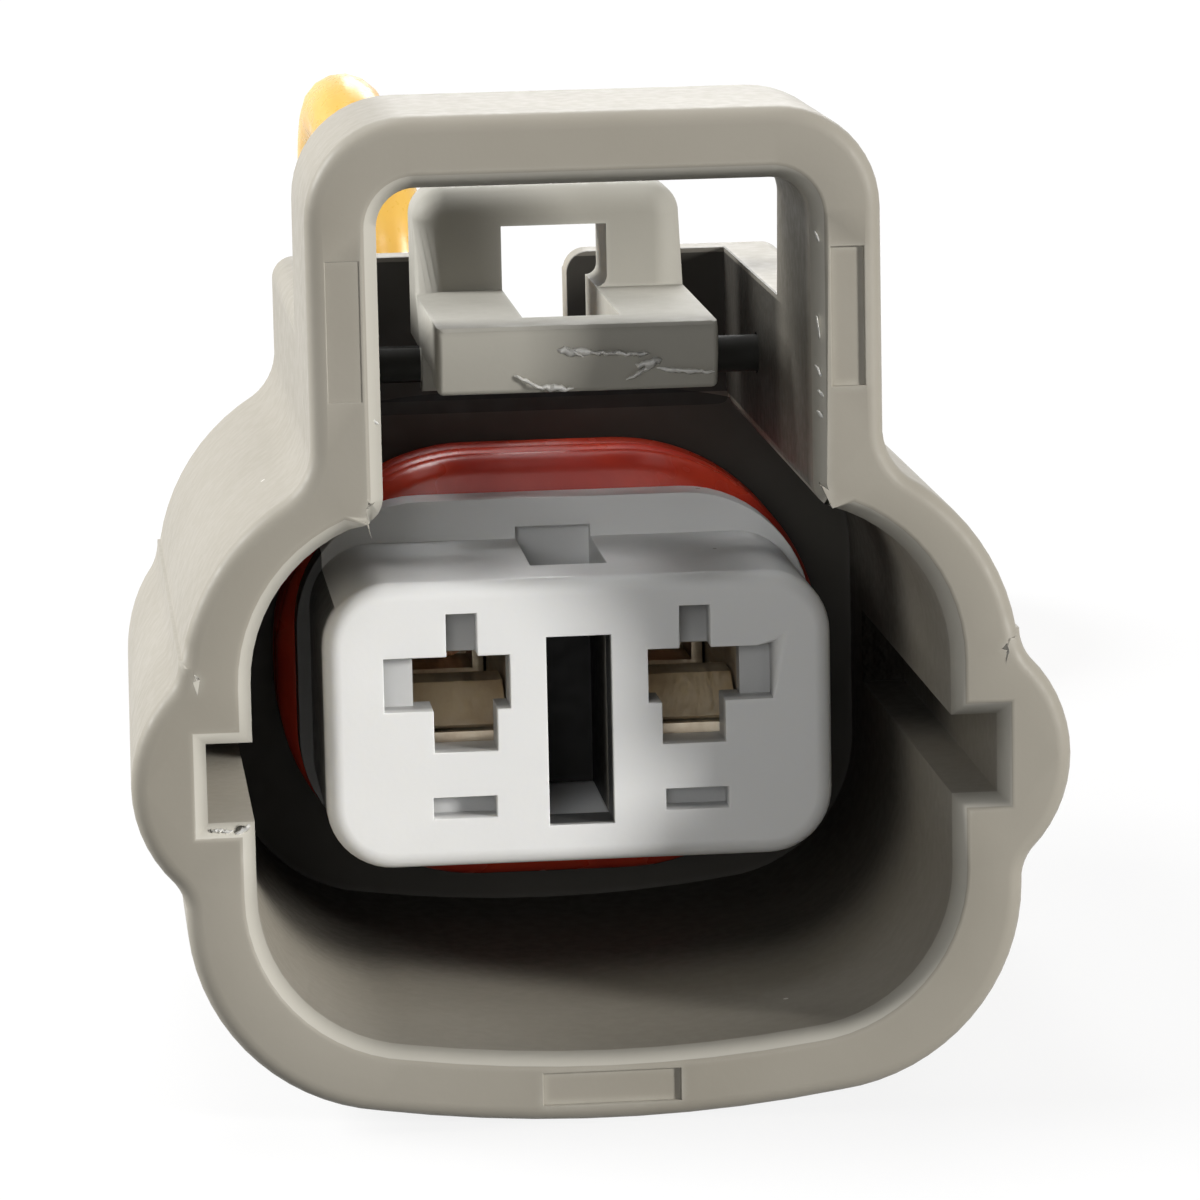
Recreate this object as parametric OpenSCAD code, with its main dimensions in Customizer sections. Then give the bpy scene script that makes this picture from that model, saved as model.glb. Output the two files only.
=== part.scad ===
// Two-way sealed female plug for a vehicle harness, with its wires.
// A hood surrounds the terminal tower, an arch guards the latch lever, and a white
// retainer, a ribbed ring seal and two crimped contacts are fitted from front and rear.
// +X right and +Z up as seen from the mating side, which looks towards -Y.
// The origin is under the middle of the plug, at the lowest point of the hood.

/* [Hood] */
// Width of the hood without its side ribs
hood_w = 17.3; // [17:0.1:19]
// Height of the hood without the arch
hood_h = 13.9; // [13.6:0.1:14.4]
// Depth of the hood, from its rim to its back
hood_d = 16; // [15.6:0.1:18]
// Wall of the hood, the neck and the arch
wall = 1.45; // [1.2:0.05:1.6]
// Wall over the mouth, beside the neck
roof_t = 1.1; // [1:0.05:1.4]
// Thickness of the wall across the back of the hood
back_t = 1.2; // [0.8:0.1:1.6]
// Radius of the curved belly under the hood
belly_r = 31; // [26:1:40]
// Outer radius of the two lower corners
low_r = 4.3; // [3.8:0.1:4.6]
// Inner radius of the two lower corners
mouth_low_r = 3.3; // [2.8:0.1:3.5]
// Outer radius of the two upper corners
top_r = 4.7; // [4:0.1:4.8]
// Inner radius of the two upper corners
mouth_top_r = 3.4; // [2.8:0.1:3.6]
// How far the side ribs stand out
rib_out = 1.05; // [0.6:0.05:1.3]
// Radius of the side ribs
rib_r = 2.85; // [2.4:0.05:3.1]
// Height of the side ribs' middle
rib_z = 7.35; // [6.8:0.05:7.6]
// Radius of the hollow where a side rib meets the hood
rib_fillet = 1; // [0.5:0.1:1.4]

/* [Key grooves] */
// Height of the two inner key grooves
groove_h = 1.65; // [1.2:0.05:2.2]
// Depth of the key grooves into the side ribs
groove_depth = 0.95; // [0.5:0.05:1.1]
// Middle height of the key grooves
groove_z = 7.4; // [7:0.05:7.7]
// Length of the key grooves from the rim
groove_l = 13; // [10:0.5:14]

/* [Neck and arch] */
// Outside width of the neck and the arch
arch_w = 11.7; // [11.2:0.1:12.4]
// Height of the arch's top
arch_top = 20.9; // [20.4:0.1:22]
// Depth of the arch band from the rim
arch_d = 5.55; // [4.5:0.05:7]
// Outer corner radius of the arch
arch_r = 2.1; // [1.6:0.1:2.6]
// Inner corner radius of the arch
arch_inner_r = 0.8; // [0.3:0.1:1.2]
// Height of the neck walls behind the arch
neck_top = 16.4; // [15.8:0.1:16.6]
// Corner radius along the neck walls
neck_r = 0.5; // [0.2:0.1:0.8]
// Radius of the hollow between neck and hood
neck_fillet = 1.3; // [0.8:0.1:2.2]
// Width of the notch in the back wall
notch_w = 1.6; // [1:0.1:2.2]
// Height at which the notch starts
notch_z = 13.6; // [12.8:0.1:14.4]
// Depth of the shallow witness pads on the rim
pad_depth = 0.12; // [0.05:0.01:0.25]
// Depth of the fainter pad on the left leg
faint_pad_depth = 0.03; // [0.02:0.01:0.1]
// Width of the witness pads
pad_w = 0.68; // [0.4:0.02:0.8]
// Length of the witness pads
pad_l = 2.85; // [2:0.05:3.4]
// Height of the middle of the two pads beside the lever
pad_z = 16.6; // [16.2:0.1:17.2]

/* [Terminal tower] */
// Distance between the two contacts
pitch = 5; // [4.9:0.05:5.2]
// Height of the tower's middle
axis_z = 7.4; // [7.2:0.05:7.6]
// Width of the tower at the ring seal
seat_w = 9.4; // [9.2:0.05:9.6]
// Height of the tower at the ring seal
seat_h = 6.7; // [6.5:0.05:7]
// Corner radius of the tower at the ring seal
seat_r = 3.05; // [2.6:0.05:3.2]
// Width of the slot between the two cavities
mid_slot_w = 1.39; // [1:0.05:1.5]
// Height of the slot between the two cavities
mid_slot_h = 4.1; // [3.6:0.1:4.4]
// Depth of that slot behind the retainer's face
mid_slot_d = 4.6; // [3:0.1:5]

/* [Front retainer] */
// Depth of the retainer's face behind the rim
face_d = 5.35; // [5:0.05:5.8]
// Width of the retainer
holder_w = 10.9; // [10.7:0.05:11.1]
// Height of the retainer
holder_h = 6.2; // [6.1:0.05:6.5]
// Corner radius of the retainer
holder_r = 1.4; // [1:0.05:1.8]
// Wall of the retainer's skirt
holder_wall = 0.8; // [0.7:0.05:0.85]
// Thickness of the retainer's face
face_t = 1.2; // [1:0.05:1.4]
// Length of the retainer from its face to its flange
skirt_l = 5.55; // [5:0.05:5.8]
// Width of the retainer's flange
flange_w = 11.5; // [11.3:0.05:11.8]
// Height of the retainer's flange
flange_h = 8; // [7.6:0.05:8.4]
// Corner radius of the flange
flange_r = 2.8; // [2.2:0.1:3.4]
// Thickness of the flange
flange_t = 1; // [0.6:0.05:1.2]
// Width of the window in the retainer's top
window_w = 1.65; // [1.2:0.05:2]
// Length of the window in the retainer's top
window_l = 4; // [3:0.1:4.4]

/* [Tab slots] */
// Width of a tab slot
slot_w = 2.04; // [1.8:0.02:2.2]
// Height of a tab slot
slot_h = 1.16; // [0.9:0.02:1.3]
// Height of a tab slot's middle
slot_z = 8.32; // [8.2:0.02:8.4]
// Width of the recess beside a tab slot
side_w = 0.66; // [0.4:0.02:0.8]
// Width of the keyway above a tab slot
key_w = 0.66; // [0.5:0.02:0.8]
// Height of the keyway above a tab slot
key_h = 0.92; // [0.6:0.02:1]
// Width of the test notch under a tab slot
test_w = 1.36; // [1.2:0.02:1.5]
// Height of the test notch under a tab slot
test_h = 0.91; // [0.7:0.02:1]
// How far the test notch lies nearer the middle than its tab slot
test_in = 0.05; // [0:0.01:0.1]
// Height of the small blind pocket low on the face
pocket_h = 0.46; // [0.3:0.02:0.6]
// Middle height of the blind pocket
pocket_z = 5.62; // [5.5:0.02:5.8]
// Depth of the blind pockets in the face
pocket_depth = 0.7; // [0.4:0.05:0.9]

/* [Ring seal] */
// Thickness of the ring seal over its ribs
seal_t = 1.45; // [1.2:0.05:1.55]
// Height of the seal's ribs
seal_rib = 0.4; // [0.2:0.05:0.5]
// Number of ribs
seal_ribs = 3; // [2:1:3]
// Width of each rib
seal_rib_w = 0.5; // [0.3:0.05:0.6]

/* [Latch lever] */
// Width of the lever
lever_w = 5.9; // [5.4:0.1:6.4]
// Height of the lever's flat top
lever_top = 16.1; // [15.9:0.05:16.3]
// Depth of the lever's front bar behind the rim
bar_d = 4; // [3.6:0.05:4.6]
// Thickness of the front bar, front to back
bar_t = 1.5; // [1.2:0.05:1.8]
// Height of the front bar
bar_h = 1.45; // [1.3:0.05:1.6]
// Thickness of the two arms
arm_t = 1.1; // [0.9:0.05:1.25]
// Width of the opening between the arms
arm_gap = 2.07; // [1.6:0.05:2.4]
// Depth of the thumb bow behind the rim
bow_d = 10.5; // [10.2:0.05:10.8]
// Thickness of the thumb bow, front to back
bow_t = 2.4; // [1.8:0.1:2.5]
// Height of the thumb bow over the arms
bow_h = 2.25; // [2:0.05:2.4]
// Thickness of the bow's top bar
bow_bar = 0.85; // [0.7:0.05:1]
// Corner radius of the thumb bow
bow_r = 0.7; // [0.3:0.05:0.8]
// How much further the opening reaches through the bow's right leg
bow_widen = 0.25; // [0.1:0.05:0.5]
// Depth of the lever's pivot behind the rim
pivot_d = 9.2; // [8.8:0.05:9.6]
// Height of the lever's pivot
pivot_z = 14.7; // [14.4:0.05:14.75]
// Radius of the pivot stubs
pivot_r = 0.4; // [0.35:0.05:0.5]
// How far a pivot stub reaches into the neck wall
pivot_reach = 0.5; // [0.3:0.05:0.7]

/* [Wire entry and contacts] */
// Length of the wire entry behind the hood
rear_l = 11.5; // [11:0.1:13]
// Radius of a wire seal bore
bore_r = 2.2; // [2.1:0.01:2.25]
// Length of a wire seal bore
bore_l = 6; // [5.8:0.05:6.2]
// Wall round the wire seal bores
rear_wall = 0.8; // [0.6:0.05:1.2]
// Width of a contact's box
box_w = 2.8; // [2.7:0.02:2.84]
// Height of a contact's box
box_h = 2.4; // [2.3:0.02:2.44]
// Length of a contact's box
box_l = 6.8; // [6:0.1:7]
// Sheet thickness of a contact
sheet = 0.25; // [0.2:0.01:0.28]
// Width of the spring tongue in a contact
tongue_w = 2.1; // [1.4:0.05:2.2]
// Outside diameter of a wire
wire_d = 2.1; // [1.8:0.05:2.14]
// Diameter of the bare conductor
core_d = 1.2; // [1:0.05:1.3]

/* [Hidden] */
$fn = 72;

// How far a cutting shape runs past the face that it cuts
over = 0.5;
// Gap between pieces that are seated on each other
seat_gap = 0.02;
// Gap between pieces that slide or turn on each other
slide_gap = 0.05;
// How far a round is carried into its neighbour, so that the two curves cross
tuck = 0.005;

total_l = hood_d + rear_l;
rim_y = -total_l / 2;
mouth_w = hood_w - 2 * wall;
neck_w = arch_w - 2 * wall;
side_x = hood_w / 2;
rib_x = side_x + rib_out - rib_r;

// Depths behind the rim at which one piece gives way to the next
skirt_end = face_d + skirt_l;
flange_end = skirt_end + flange_t;
seat_start = flange_end + slide_gap;
back_start = hood_d - back_t;
nose_start = face_d + face_t + slide_gap;
nose_w = holder_w - 2 * holder_wall - 2 * slide_gap;
nose_h = holder_h - 2 * holder_wall - 2 * slide_gap;
nose_r = holder_r - holder_wall;
seal_w = seat_w + 2 * seal_t;
seal_h = seat_h + 2 * seal_t;
seal_r = seat_r + seal_t;

// The contact: its box sits in a square cavity, and its crimps in a round one, which
// lets the box through from the rear
box_start = nose_start + 3 * slide_gap;
box_end = box_start + box_l;
box_z = slot_z - 0.37;
wire_z = box_z - 0.3;
cavity_w = box_w + 2 * slide_gap;
cavity_h = box_h + 2 * slide_gap;
bore_start = total_l - bore_l;
channel_h = 1.3;
channel_l = 1.6;
crimp_start = box_end + channel_l;
crimp_l = 2.6;
crimp_end = crimp_start + crimp_l;
strip_w = 1.2;
grip_start = bore_start - 2.5;
grip_l = 2;
grip_slit = 0.3;
// The grip closes round the wire seal's neck
grip_r = bore_r - 0.42;
crimp_bore_r = bore_r - 0.1;
insulation_start = grip_start - 0.35;
step_d = insulation_start - seat_gap - sheet;
wire_r = wire_d / 2;
core_r = core_d / 2;
// A crimp rolls the strands into two lobes, a little smaller than the loose strands
lobe_x = 0.35;
lobe_r = core_r - 0.15;
keel_z = wire_z - lobe_r - seat_gap - sheet;
channel_w = 2 * (lobe_x + lobe_r + seat_gap + sheet);

// The lever
bar_z = lever_top - bar_h;
bow_end = bow_d + bow_t;
pivot_x = neck_w / 2 + pivot_reach;

// Routes of the free wires, in the frame of the part: each starts straight, in its seal
straight = [for (d = [insulation_start, bore_start + bore_l / 3, total_l]) rim_y + d];
route_left = concat([for (y = straight) [-pitch / 2, y, wire_z]],
    [[-2.5, 15.3, 7.75], [-2.45, 17.2, 8.5], [-2.25, 19.1, 10.4], [-2, 19.8, 12.9],
    [-2.2, 20.4, 15.4], [-2.65, 22.1, 17], [-2.85, 24.4, 17.6], [-2.9, 26.7, 17],
    [-2.9, 28.4, 15.4], [-3, 29, 13.1], [-3.3, 29.7, 10.5], [-3.9, 31, 7.9],
    [-4.8, 33, 5.6], [-5.8, 35.8, 4], [-6.45, 38.4, 3.4], [-6.6, 40.5, 3.35]]);
route_right = concat([for (y = straight) [pitch / 2, y, wire_z]],
    [[2.5, 15.8, 7.4], [2.4, 17.3, 6.8], [2.3, 18.6, 5.7], [2.1, 20, 4.3],
    [1.7, 21.5, 2.9], [1.1, 23.4, 1.6], [0.2, 25.7, 1.1], [-1, 28, 1.1],
    [-2.4, 30.3, 1.1], [-3.8, 32.6, 1.1], [-5.1, 35, 1.1], [-6.1, 37.6, 1.2],
    [-6.6, 40.5, 1.2]]);
tube_sides = 8;
// The coils: two flat turns each, the left wire's lying on the right wire's
coil_x = 3.9;
coil_y = 40.5;
coil_outer_r = 11.55;
coil_inner_r = 7.2;
coil_floor = [0.15, 2.3];

// ---- Helpers ----

// A flat outline in X and Z, carried from one depth behind the rim to another
module along(from, to) {
    translate([0, rim_y + to, 0]) rotate([90, 0, 0]) linear_extrude(to - from) children();
}

// A side outline in depth and Z, carried across the width w about the middle
module across(w) {
    translate([-w / 2, rim_y, 0]) rotate([90, 0, 90]) linear_extrude(w) children();
}

// A turned shape whose axis runs back from depth d at height z
module turned(x, z, d) {
    translate([x, rim_y + d, z]) rotate([-90, 0, 0]) children();
}

module both_sides() {
    children();
    mirror([1, 0, 0]) children();
}

// A rounded rectangle of width w and height h about the height z
module rounded(w, h, r, z = 0) {
    translate([0, z]) union() {
        square([w - 2 * r, h], center = true);
        square([w, h - 2 * r], center = true);
        for (sx = [-1, 1], sz = [-1, 1])
            translate([sx * (w / 2 - r), sz * (h / 2 - r)]) circle(r);
    }
}

// A rectangle between two heights, centred on x
module slab(x, w, z0, z1) {
    translate([x - w / 2, z0]) square([w, z1 - z0]);
}

// The hollow between the vertical line at x and the outside of a circle, filled with
// a radius; up is 1 above the circle and -1 below it
module blend(x, centre, r, fillet, up) {
    f = [x + fillet, centre[1] + up * sqrt(pow(r + fillet, 2) - pow(x + fillet - centre[0], 2))];
    inside = centre + (f - centre) * (r - fillet / 4) / (r + fillet);
    difference() {
        polygon([[x - over, f[1]], f, inside, [x - over, inside[1] - up * over]]);
        translate(f) circle(fillet + tuck);
    }
}

// ---- Outlines of the hood ----

// A bowl with a curved belly: used for the outside of the hood and for its mouth
module bowl(w, base, top, low, high, belly) {
    low_x = w / 2 - low;
    high_x = w / 2 - high;
    apex = base + belly;
    low_z = apex - sqrt(pow(belly - low, 2) - pow(low_x, 2)) - tuck;
    reach = (belly + over) / (belly - low);
    intersection() {
        translate([0, apex]) circle(belly, $fn = 180);
        polygon([[-low_x, low_z], [low_x, low_z],
            [low_x * reach, apex + (low_z - apex) * reach],
            [-low_x * reach, apex + (low_z - apex) * reach]]);
    }
    slab(0, w, low_z, top - high);
    slab(0, 2 * high_x, top - high - over, top);
    both_sides() {
        translate([low_x, low_z]) circle(low);
        translate([high_x, top - high]) circle(high);
    }
}

module mouth() {
    bowl(mouth_w, wall, hood_h - roof_t, mouth_low_r, mouth_top_r, belly_r - wall);
}

module rib() {
    translate([rib_x, rib_z]) circle(rib_r);
    blend(side_x, [rib_x, rib_z], rib_r, rib_fillet, 1);
    blend(side_x, [rib_x, rib_z], rib_r, rib_fillet, -1);
}

// The neck: a block on the hood with two round upper corners
module neck(top, r) {
    slab(0, arch_w, hood_h - top_r, top - r);
    slab(0, arch_w - 2 * r, top - r - over, top);
    both_sides() translate([arch_w / 2 - r, top - r]) circle(r);
}

// The outside of the hood, up to the top of the neck
module hood_outline(top, r) {
    bowl(hood_w, 0, hood_h, low_r, top_r, belly_r);
    both_sides() {
        rib();
        blend(arch_w / 2, [side_x - top_r, hood_h - top_r], top_r, neck_fillet, 1);
    }
    neck(top, r);
}

module arch_window() {
    top = arch_top - wall;
    slab(0, neck_w, hood_h - top_r, top - arch_inner_r);
    slab(0, neck_w - 2 * arch_inner_r, top - arch_inner_r - over, top);
    both_sides() translate([neck_w / 2 - arch_inner_r, top - arch_inner_r]) circle(arch_inner_r);
}

// The notch in the back wall, with its two upper edges rounded
module back_notch() {
    slab(0, notch_w, notch_z, neck_top + over);
    both_sides() difference() {
        translate([notch_w / 2 - over, neck_top - neck_r]) square([neck_r + over, neck_r + over]);
        translate([notch_w / 2 + neck_r, neck_top - neck_r]) circle(neck_r);
        translate([notch_w / 2 + neck_r, neck_top - neck_r]) square(neck_r + over);
    }
}

// ---- Housing ----

module hood_shell() {
    along(0, arch_d) difference() {
        hood_outline(arch_top, arch_r);
        mouth();
        arch_window();
    }
    along(arch_d, back_start) difference() {
        hood_outline(neck_top, neck_r);
        mouth();
        slab(0, neck_w, hood_h - top_r, neck_top + over);
    }
    along(back_start, hood_d) difference() {
        hood_outline(neck_top, neck_r);
        back_notch();
    }
}

module key_grooves() {
    depth = mouth_w / 2 + groove_depth;
    both_sides() along(-over, groove_l) translate([depth / 2, groove_z])
        square([depth, groove_h], center = true);
}

// Shallow pads that the mould leaves on the rim: two on the legs and one on the belly
module witness_pads() {
    leg_x = (arch_w - wall) / 2;
    along(-over, pad_depth) {
        slab(leg_x, pad_w, pad_z - pad_l / 2, pad_z + pad_l / 2);
        slab(0, pad_l, (wall - pad_w) / 2, (wall + pad_w) / 2);
    }
    along(-over, faint_pad_depth) slab(-leg_x, pad_w, pad_z - pad_l / 2, pad_z + pad_l / 2);
}

module tower() {
    along(nose_start, seat_start) rounded(nose_w, nose_h, nose_r, axis_z);
    along(seat_start, hood_d) rounded(seat_w, seat_h, seat_r, axis_z);
}

module wire_entry() {
    r = bore_r + rear_wall;
    along(hood_d, total_l) {
        for (s = [-1, 1]) translate([s * pitch / 2, wire_z]) circle(r);
        slab(0, pitch, wire_z - r, wire_z + r);
    }
}

// One cavity: square for the contact's box, round for its crimps, a bore for the wire seal
module cavity(x) {
    along(nose_start - over, back_start + over) translate([x, box_z])
        square([cavity_w, cavity_h], center = true);
    turned(x, wire_z, back_start) cylinder(h = bore_start - back_start + over, r = crimp_bore_r);
    turned(x, wire_z, bore_start) cylinder(h = bore_l + over, r = bore_r);
}

module middle_slot() {
    along(nose_start - over, face_d + mid_slot_d)
        slab(0, mid_slot_w, axis_z - nose_h / 2 - over, axis_z + nose_h / 2 + over);
}

module pivot_sockets() {
    for (s = [-1, 1]) translate([s * pivot_x, rim_y + pivot_d, pivot_z]) rotate([0, -s * 90, 0])
        translate([0, 0, -slide_gap]) cylinder(h = pivot_reach + slide_gap + over, r = pivot_r + slide_gap);
}

module housing() {
    color([0.68, 0.68, 0.65]) difference() {
        union() {
            difference() {
                hood_shell();
                key_grooves();
            }
            tower();
            wire_entry();
        }
        for (s = [-1, 1]) cavity(s * pitch / 2);
        middle_slot();
        pivot_sockets();
        witness_pads();
    }
}

// ---- Latch lever ----

// Front bar with a slanted lead-in below a blunt nose, then the arm behind it
module lever_side() {
    nose = 0.25;
    bevel = 0.1;
    root = 0.4;
    polygon([[bar_d + nose, bar_z], [bar_d, bar_z + bar_h / 2], [bar_d, lever_top - bevel],
        [bar_d + bevel, lever_top], [bow_end, lever_top], [bow_end, lever_top - arm_t],
        [bar_d + bar_t + root, lever_top - arm_t], [bar_d + bar_t, bar_z]]);
}

module thumb_bow() {
    top = lever_top + bow_h;
    slab(0, lever_w, lever_top - over, top - bow_r);
    slab(0, lever_w - 2 * bow_r, top - bow_r - over, top);
    both_sides() translate([lever_w / 2 - bow_r, top - bow_r]) circle(bow_r);
}

// The opening is wider through the bow's right leg, down to a rounded foot
module bow_flare() {
    foot = lever_top + bow_widen + tuck;
    translate([arm_gap / 2, foot]) circle(bow_widen);
    translate([0, foot]) square([arm_gap / 2 + bow_widen, bow_h - bow_bar - bow_widen - tuck]);
}

module latch_lever() {
    ear = (lever_w - arm_gap) / 4;
    ear_r = pivot_r + 0.2;
    color([0.6, 0.6, 0.57]) difference() {
        union() {
            across(lever_w) lever_side();
            along(bow_d, bow_end) thumb_bow();
            // Ears under the arms carry the pivot stubs
            for (s = [-1, 1]) translate([s * (lever_w / 2 - ear / 2), 0, 0]) across(ear) {
                translate([pivot_d, pivot_z]) circle(ear_r);
                slab(pivot_d, 2 * ear_r, pivot_z, lever_top - over);
            }
            for (s = [-1, 1]) translate([s * (lever_w / 2 - ear), rim_y + pivot_d, pivot_z])
                rotate([0, s * 90, 0]) cylinder(h = pivot_x - lever_w / 2 + ear - slide_gap, r = pivot_r);
        }
        along(bar_d + bar_t, bow_end + over)
            slab(0, arm_gap, bar_z - over, lever_top + bow_h - bow_bar);
        along(bow_d - over, bow_end + over) bow_flare();
    }
}

// ---- Front retainer ----

// Openings of one contact in the retainer's face; out is the side that faces outwards
module tab_slot(out) {
    slab(0, slot_w, slot_z - slot_h / 2, slot_z + slot_h / 2);
    slab(-out * test_in, test_w, slot_z - slot_h / 2 - test_h, slot_z);
}

module blind_pockets(out) {
    slab(out * (slot_w + side_w - tuck) / 2, side_w + tuck, slot_z - slot_h / 2, slot_z + slot_h / 2);
    slab(0, key_w, slot_z, slot_z + slot_h / 2 + key_h);
    slab(0, test_w, pocket_z - pocket_h / 2, pocket_z + pocket_h / 2);
}

module front_retainer() {
    hole_w = holder_w - 2 * holder_wall;
    hole_h = holder_h - 2 * holder_wall;
    top = axis_z + holder_h / 2;
    window_end = skirt_end + flange_t / 3;
    ledge = flange_t / 4;
    mid_drop = 0.2;
    color([0.9, 0.9, 0.88]) difference() {
        union() {
            along(face_d, skirt_end) rounded(holder_w, holder_h, holder_r, axis_z);
            along(skirt_end, flange_end) rounded(flange_w, flange_h, flange_r, axis_z);
        }
        along(face_d + face_t, flange_end + over) rounded(hole_w, hole_h, nose_r + slide_gap, axis_z);
        along(face_d - over, face_d + face_t + over) {
            for (s = [-1, 1]) translate([s * pitch / 2, 0]) tab_slot(s);
            slab(0, mid_slot_w, axis_z - mid_drop - mid_slot_h / 2, axis_z - mid_drop + mid_slot_h / 2);
        }
        along(face_d - over, face_d + pocket_depth)
            for (s = [-1, 1]) translate([s * pitch / 2, 0]) blind_pockets(s);
        along(window_end - window_l, window_end)
            slab(0, window_w, top - holder_wall - over, top + ledge);
    }
}

// ---- Ring seal ----

module ring_seal() {
    length = back_start - seat_start - slide_gap;
    step = (length - seal_rib_w) / (seal_ribs - 1);
    start = seat_start + slide_gap;
    color([0.6, 0.14, 0.1]) difference() {
        union() {
            along(start, back_start)
                rounded(seal_w - 2 * seal_rib, seal_h - 2 * seal_rib, seal_r - seal_rib, axis_z);
            for (i = [0 : seal_ribs - 1])
                along(start + i * step, start + i * step + seal_rib_w)
                    rounded(seal_w, seal_h, seal_r, axis_z);
        }
        along(start - over, back_start + over)
            rounded(seat_w + 2 * seat_gap, seat_h + 2 * seat_gap, seat_r + seat_gap, axis_z);
    }
}

// ---- Contacts, wire seals and conductors ----

module contact_box() {
    along(box_start, box_end) translate([0, box_z]) difference() {
        square([box_w, box_h], center = true);
        square([box_w - 2 * sheet, box_h - 2 * sheet], center = true);
    }
}

// The spring tongue rises from the box's floor, bends over and ends in a lead-in lip
module tongue() {
    floor_z = box_z - box_h / 2;
    crest = slot_z - 0.42;
    lip = slot_z - 1.17;
    bend = box_start + 1.1;
    root = box_end - 1;
    across(tongue_w) polygon([
        [box_start, lip], [bend, crest], [2 * bend - box_start, crest],
        [root, floor_z + sheet], [root, floor_z + sheet / 5],
        [2 * bend - box_start - 0.1, crest - sheet], [bend + 0.1, crest - sheet],
        [box_start + 0.2, lip - 0.1]]);
}

module contact() {
    grip_z = wire_z - grip_r;
    color([0.78, 0.75, 0.68]) {
        contact_box();
        tongue();
        // Channel from the box to the crimps
        along(box_end - sheet, crimp_start) difference() {
            slab(0, channel_w, keel_z, keel_z + channel_h);
            slab(0, channel_w - 2 * sheet, keel_z + sheet, keel_z + channel_h + over);
        }
        // Conductor crimp, rolled over the strands from both sides
        along(crimp_start, crimp_end) difference() {
            lobes(core_r + sheet);
            lobes(lobe_r + seat_gap);
        }
        // The strip behind it steps down, clear of the insulation, to the grip
        along(crimp_end, step_d + sheet) slab(0, strip_w, keel_z, keel_z + sheet);
        along(step_d, step_d + sheet) slab(0, strip_w, grip_z, keel_z + sheet);
        along(step_d, grip_start + sheet) slab(0, strip_w, grip_z, grip_z + sheet);
        // Grip that closes on the neck of the wire seal, open along its top
        along(grip_start, grip_start + grip_l) difference() {
            translate([0, wire_z]) circle(grip_r);
            translate([0, wire_z]) circle(grip_r - sheet);
            slab(0, grip_slit, wire_z, wire_z + grip_r + over);
        }
    }
}

// The two lobes of a crimp, or of the strands in it
module lobes(r) {
    for (s = [-1, 1]) translate([s * lobe_x, wire_z]) circle(r);
}

module conductor() {
    brush = 0.4;
    color([0.8, 0.5, 0.3]) {
        along(crimp_start - brush, crimp_end) lobes(lobe_r);
        along(crimp_end, insulation_start) translate([0, wire_z]) circle(lobe_r);
    }
}

// Wire seal: a smooth neck in the contact's grip and three ribs in the bore
module wire_seal() {
    inner_r = wire_r + seat_gap;
    neck_r = grip_r - sheet - seat_gap;
    body_r = bore_r - seat_gap;
    groove = 0.35;
    ribs = 3;
    neck_l = bore_start - grip_start + 0.2;
    body_l = bore_l - 0.5;
    step = body_l / ribs;
    color([0.6, 0.16, 0.11]) turned(0, wire_z, grip_start) rotate_extrude() polygon(concat(
        [[inner_r, 0], [neck_r, 0], [neck_r, neck_l]],
        [for (i = [0 : ribs - 1], p = [[-groove, 0.05], [0, 0.35], [0, 0.65], [-groove, 0.95]])
            [body_r + p[0], neck_l + (i + p[1]) * step]],
        [[inner_r, neck_l + body_l]]));
}

// ---- Wires ----

function unit(v) = v / norm(v);
function heading(route, i) =
    unit(route[min(i + 1, len(route) - 1)] - route[max(i - 1, 0)]);
function ring(route, i, r) = let (
        t = heading(route, i),
        side = unit(cross(t, [0.2, 0, 1])),
        up = cross(side, t))
    [for (k = [0 : tube_sides - 1]) let (a = 360 * k / tube_sides)
        route[i] + r * (cos(a) * side + sin(a) * up)];

// A tube of the wire's size with a ring of corners at each point of its route
module tube(route) {
    n = tube_sides;
    last = len(route) - 1;
    points = [for (i = [0 : last]) each ring(route, i, wire_r)];
    walls = [for (i = [0 : last - 1], k = [0 : n - 1])
        [i * n + k, i * n + (k + 1) % n, (i + 1) * n + (k + 1) % n, (i + 1) * n + k]];
    caps = [[for (k = [n - 1 : -1 : 0]) k], [for (k = [0 : n - 1]) last * n + k]];
    polyhedron(points, concat(walls, caps));
}

module wire_coil(base) {
    r = (coil_outer_r - coil_inner_r) / 2;
    translate([coil_x, coil_y, base]) rotate_extrude()
        translate([coil_inner_r, 0]) union() {
            translate([wire_r, 0]) square([2 * r - wire_d, wire_d]);
            translate([wire_r, wire_r]) circle(wire_r);
            translate([2 * r - wire_r, wire_r]) circle(wire_r);
        }
}

left_x = -pitch / 2;
right_x = pitch / 2;

housing();
latch_lever();
front_retainer();
ring_seal();
translate([left_x, 0, 0]) contact();  // contact_left
translate([right_x, 0, 0]) contact();  // contact_right
translate([left_x, 0, 0]) wire_seal();  // wire_seal_left
translate([right_x, 0, 0]) wire_seal();  // wire_seal_right
translate([left_x, 0, 0]) conductor();  // conductor_left
translate([right_x, 0, 0]) conductor();  // conductor_right
color([0.95, 0.65, 0.2]) tube(route_left);  // wire_left
color([0.45, 0.2, 0.15]) tube(route_right);  // wire_right
color([0.95, 0.65, 0.2]) wire_coil(coil_floor[1]);  // wire_coil_left
color([0.45, 0.2, 0.15]) wire_coil(coil_floor[0]);  // wire_coil_right
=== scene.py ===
"""Sealed two-way plug with its two wires: the visible pieces, their finishes and the studio.

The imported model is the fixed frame. Lengths are in metres, X to the right seen from the
mating side, Y along the wires and Z up.
"""

import logging
import math
import random
from dataclasses import dataclass, field
from enum import Enum
from typing import Callable, Sequence

import bmesh
import bpy
from mathutils import Matrix, Vector, geometry, noise


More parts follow.
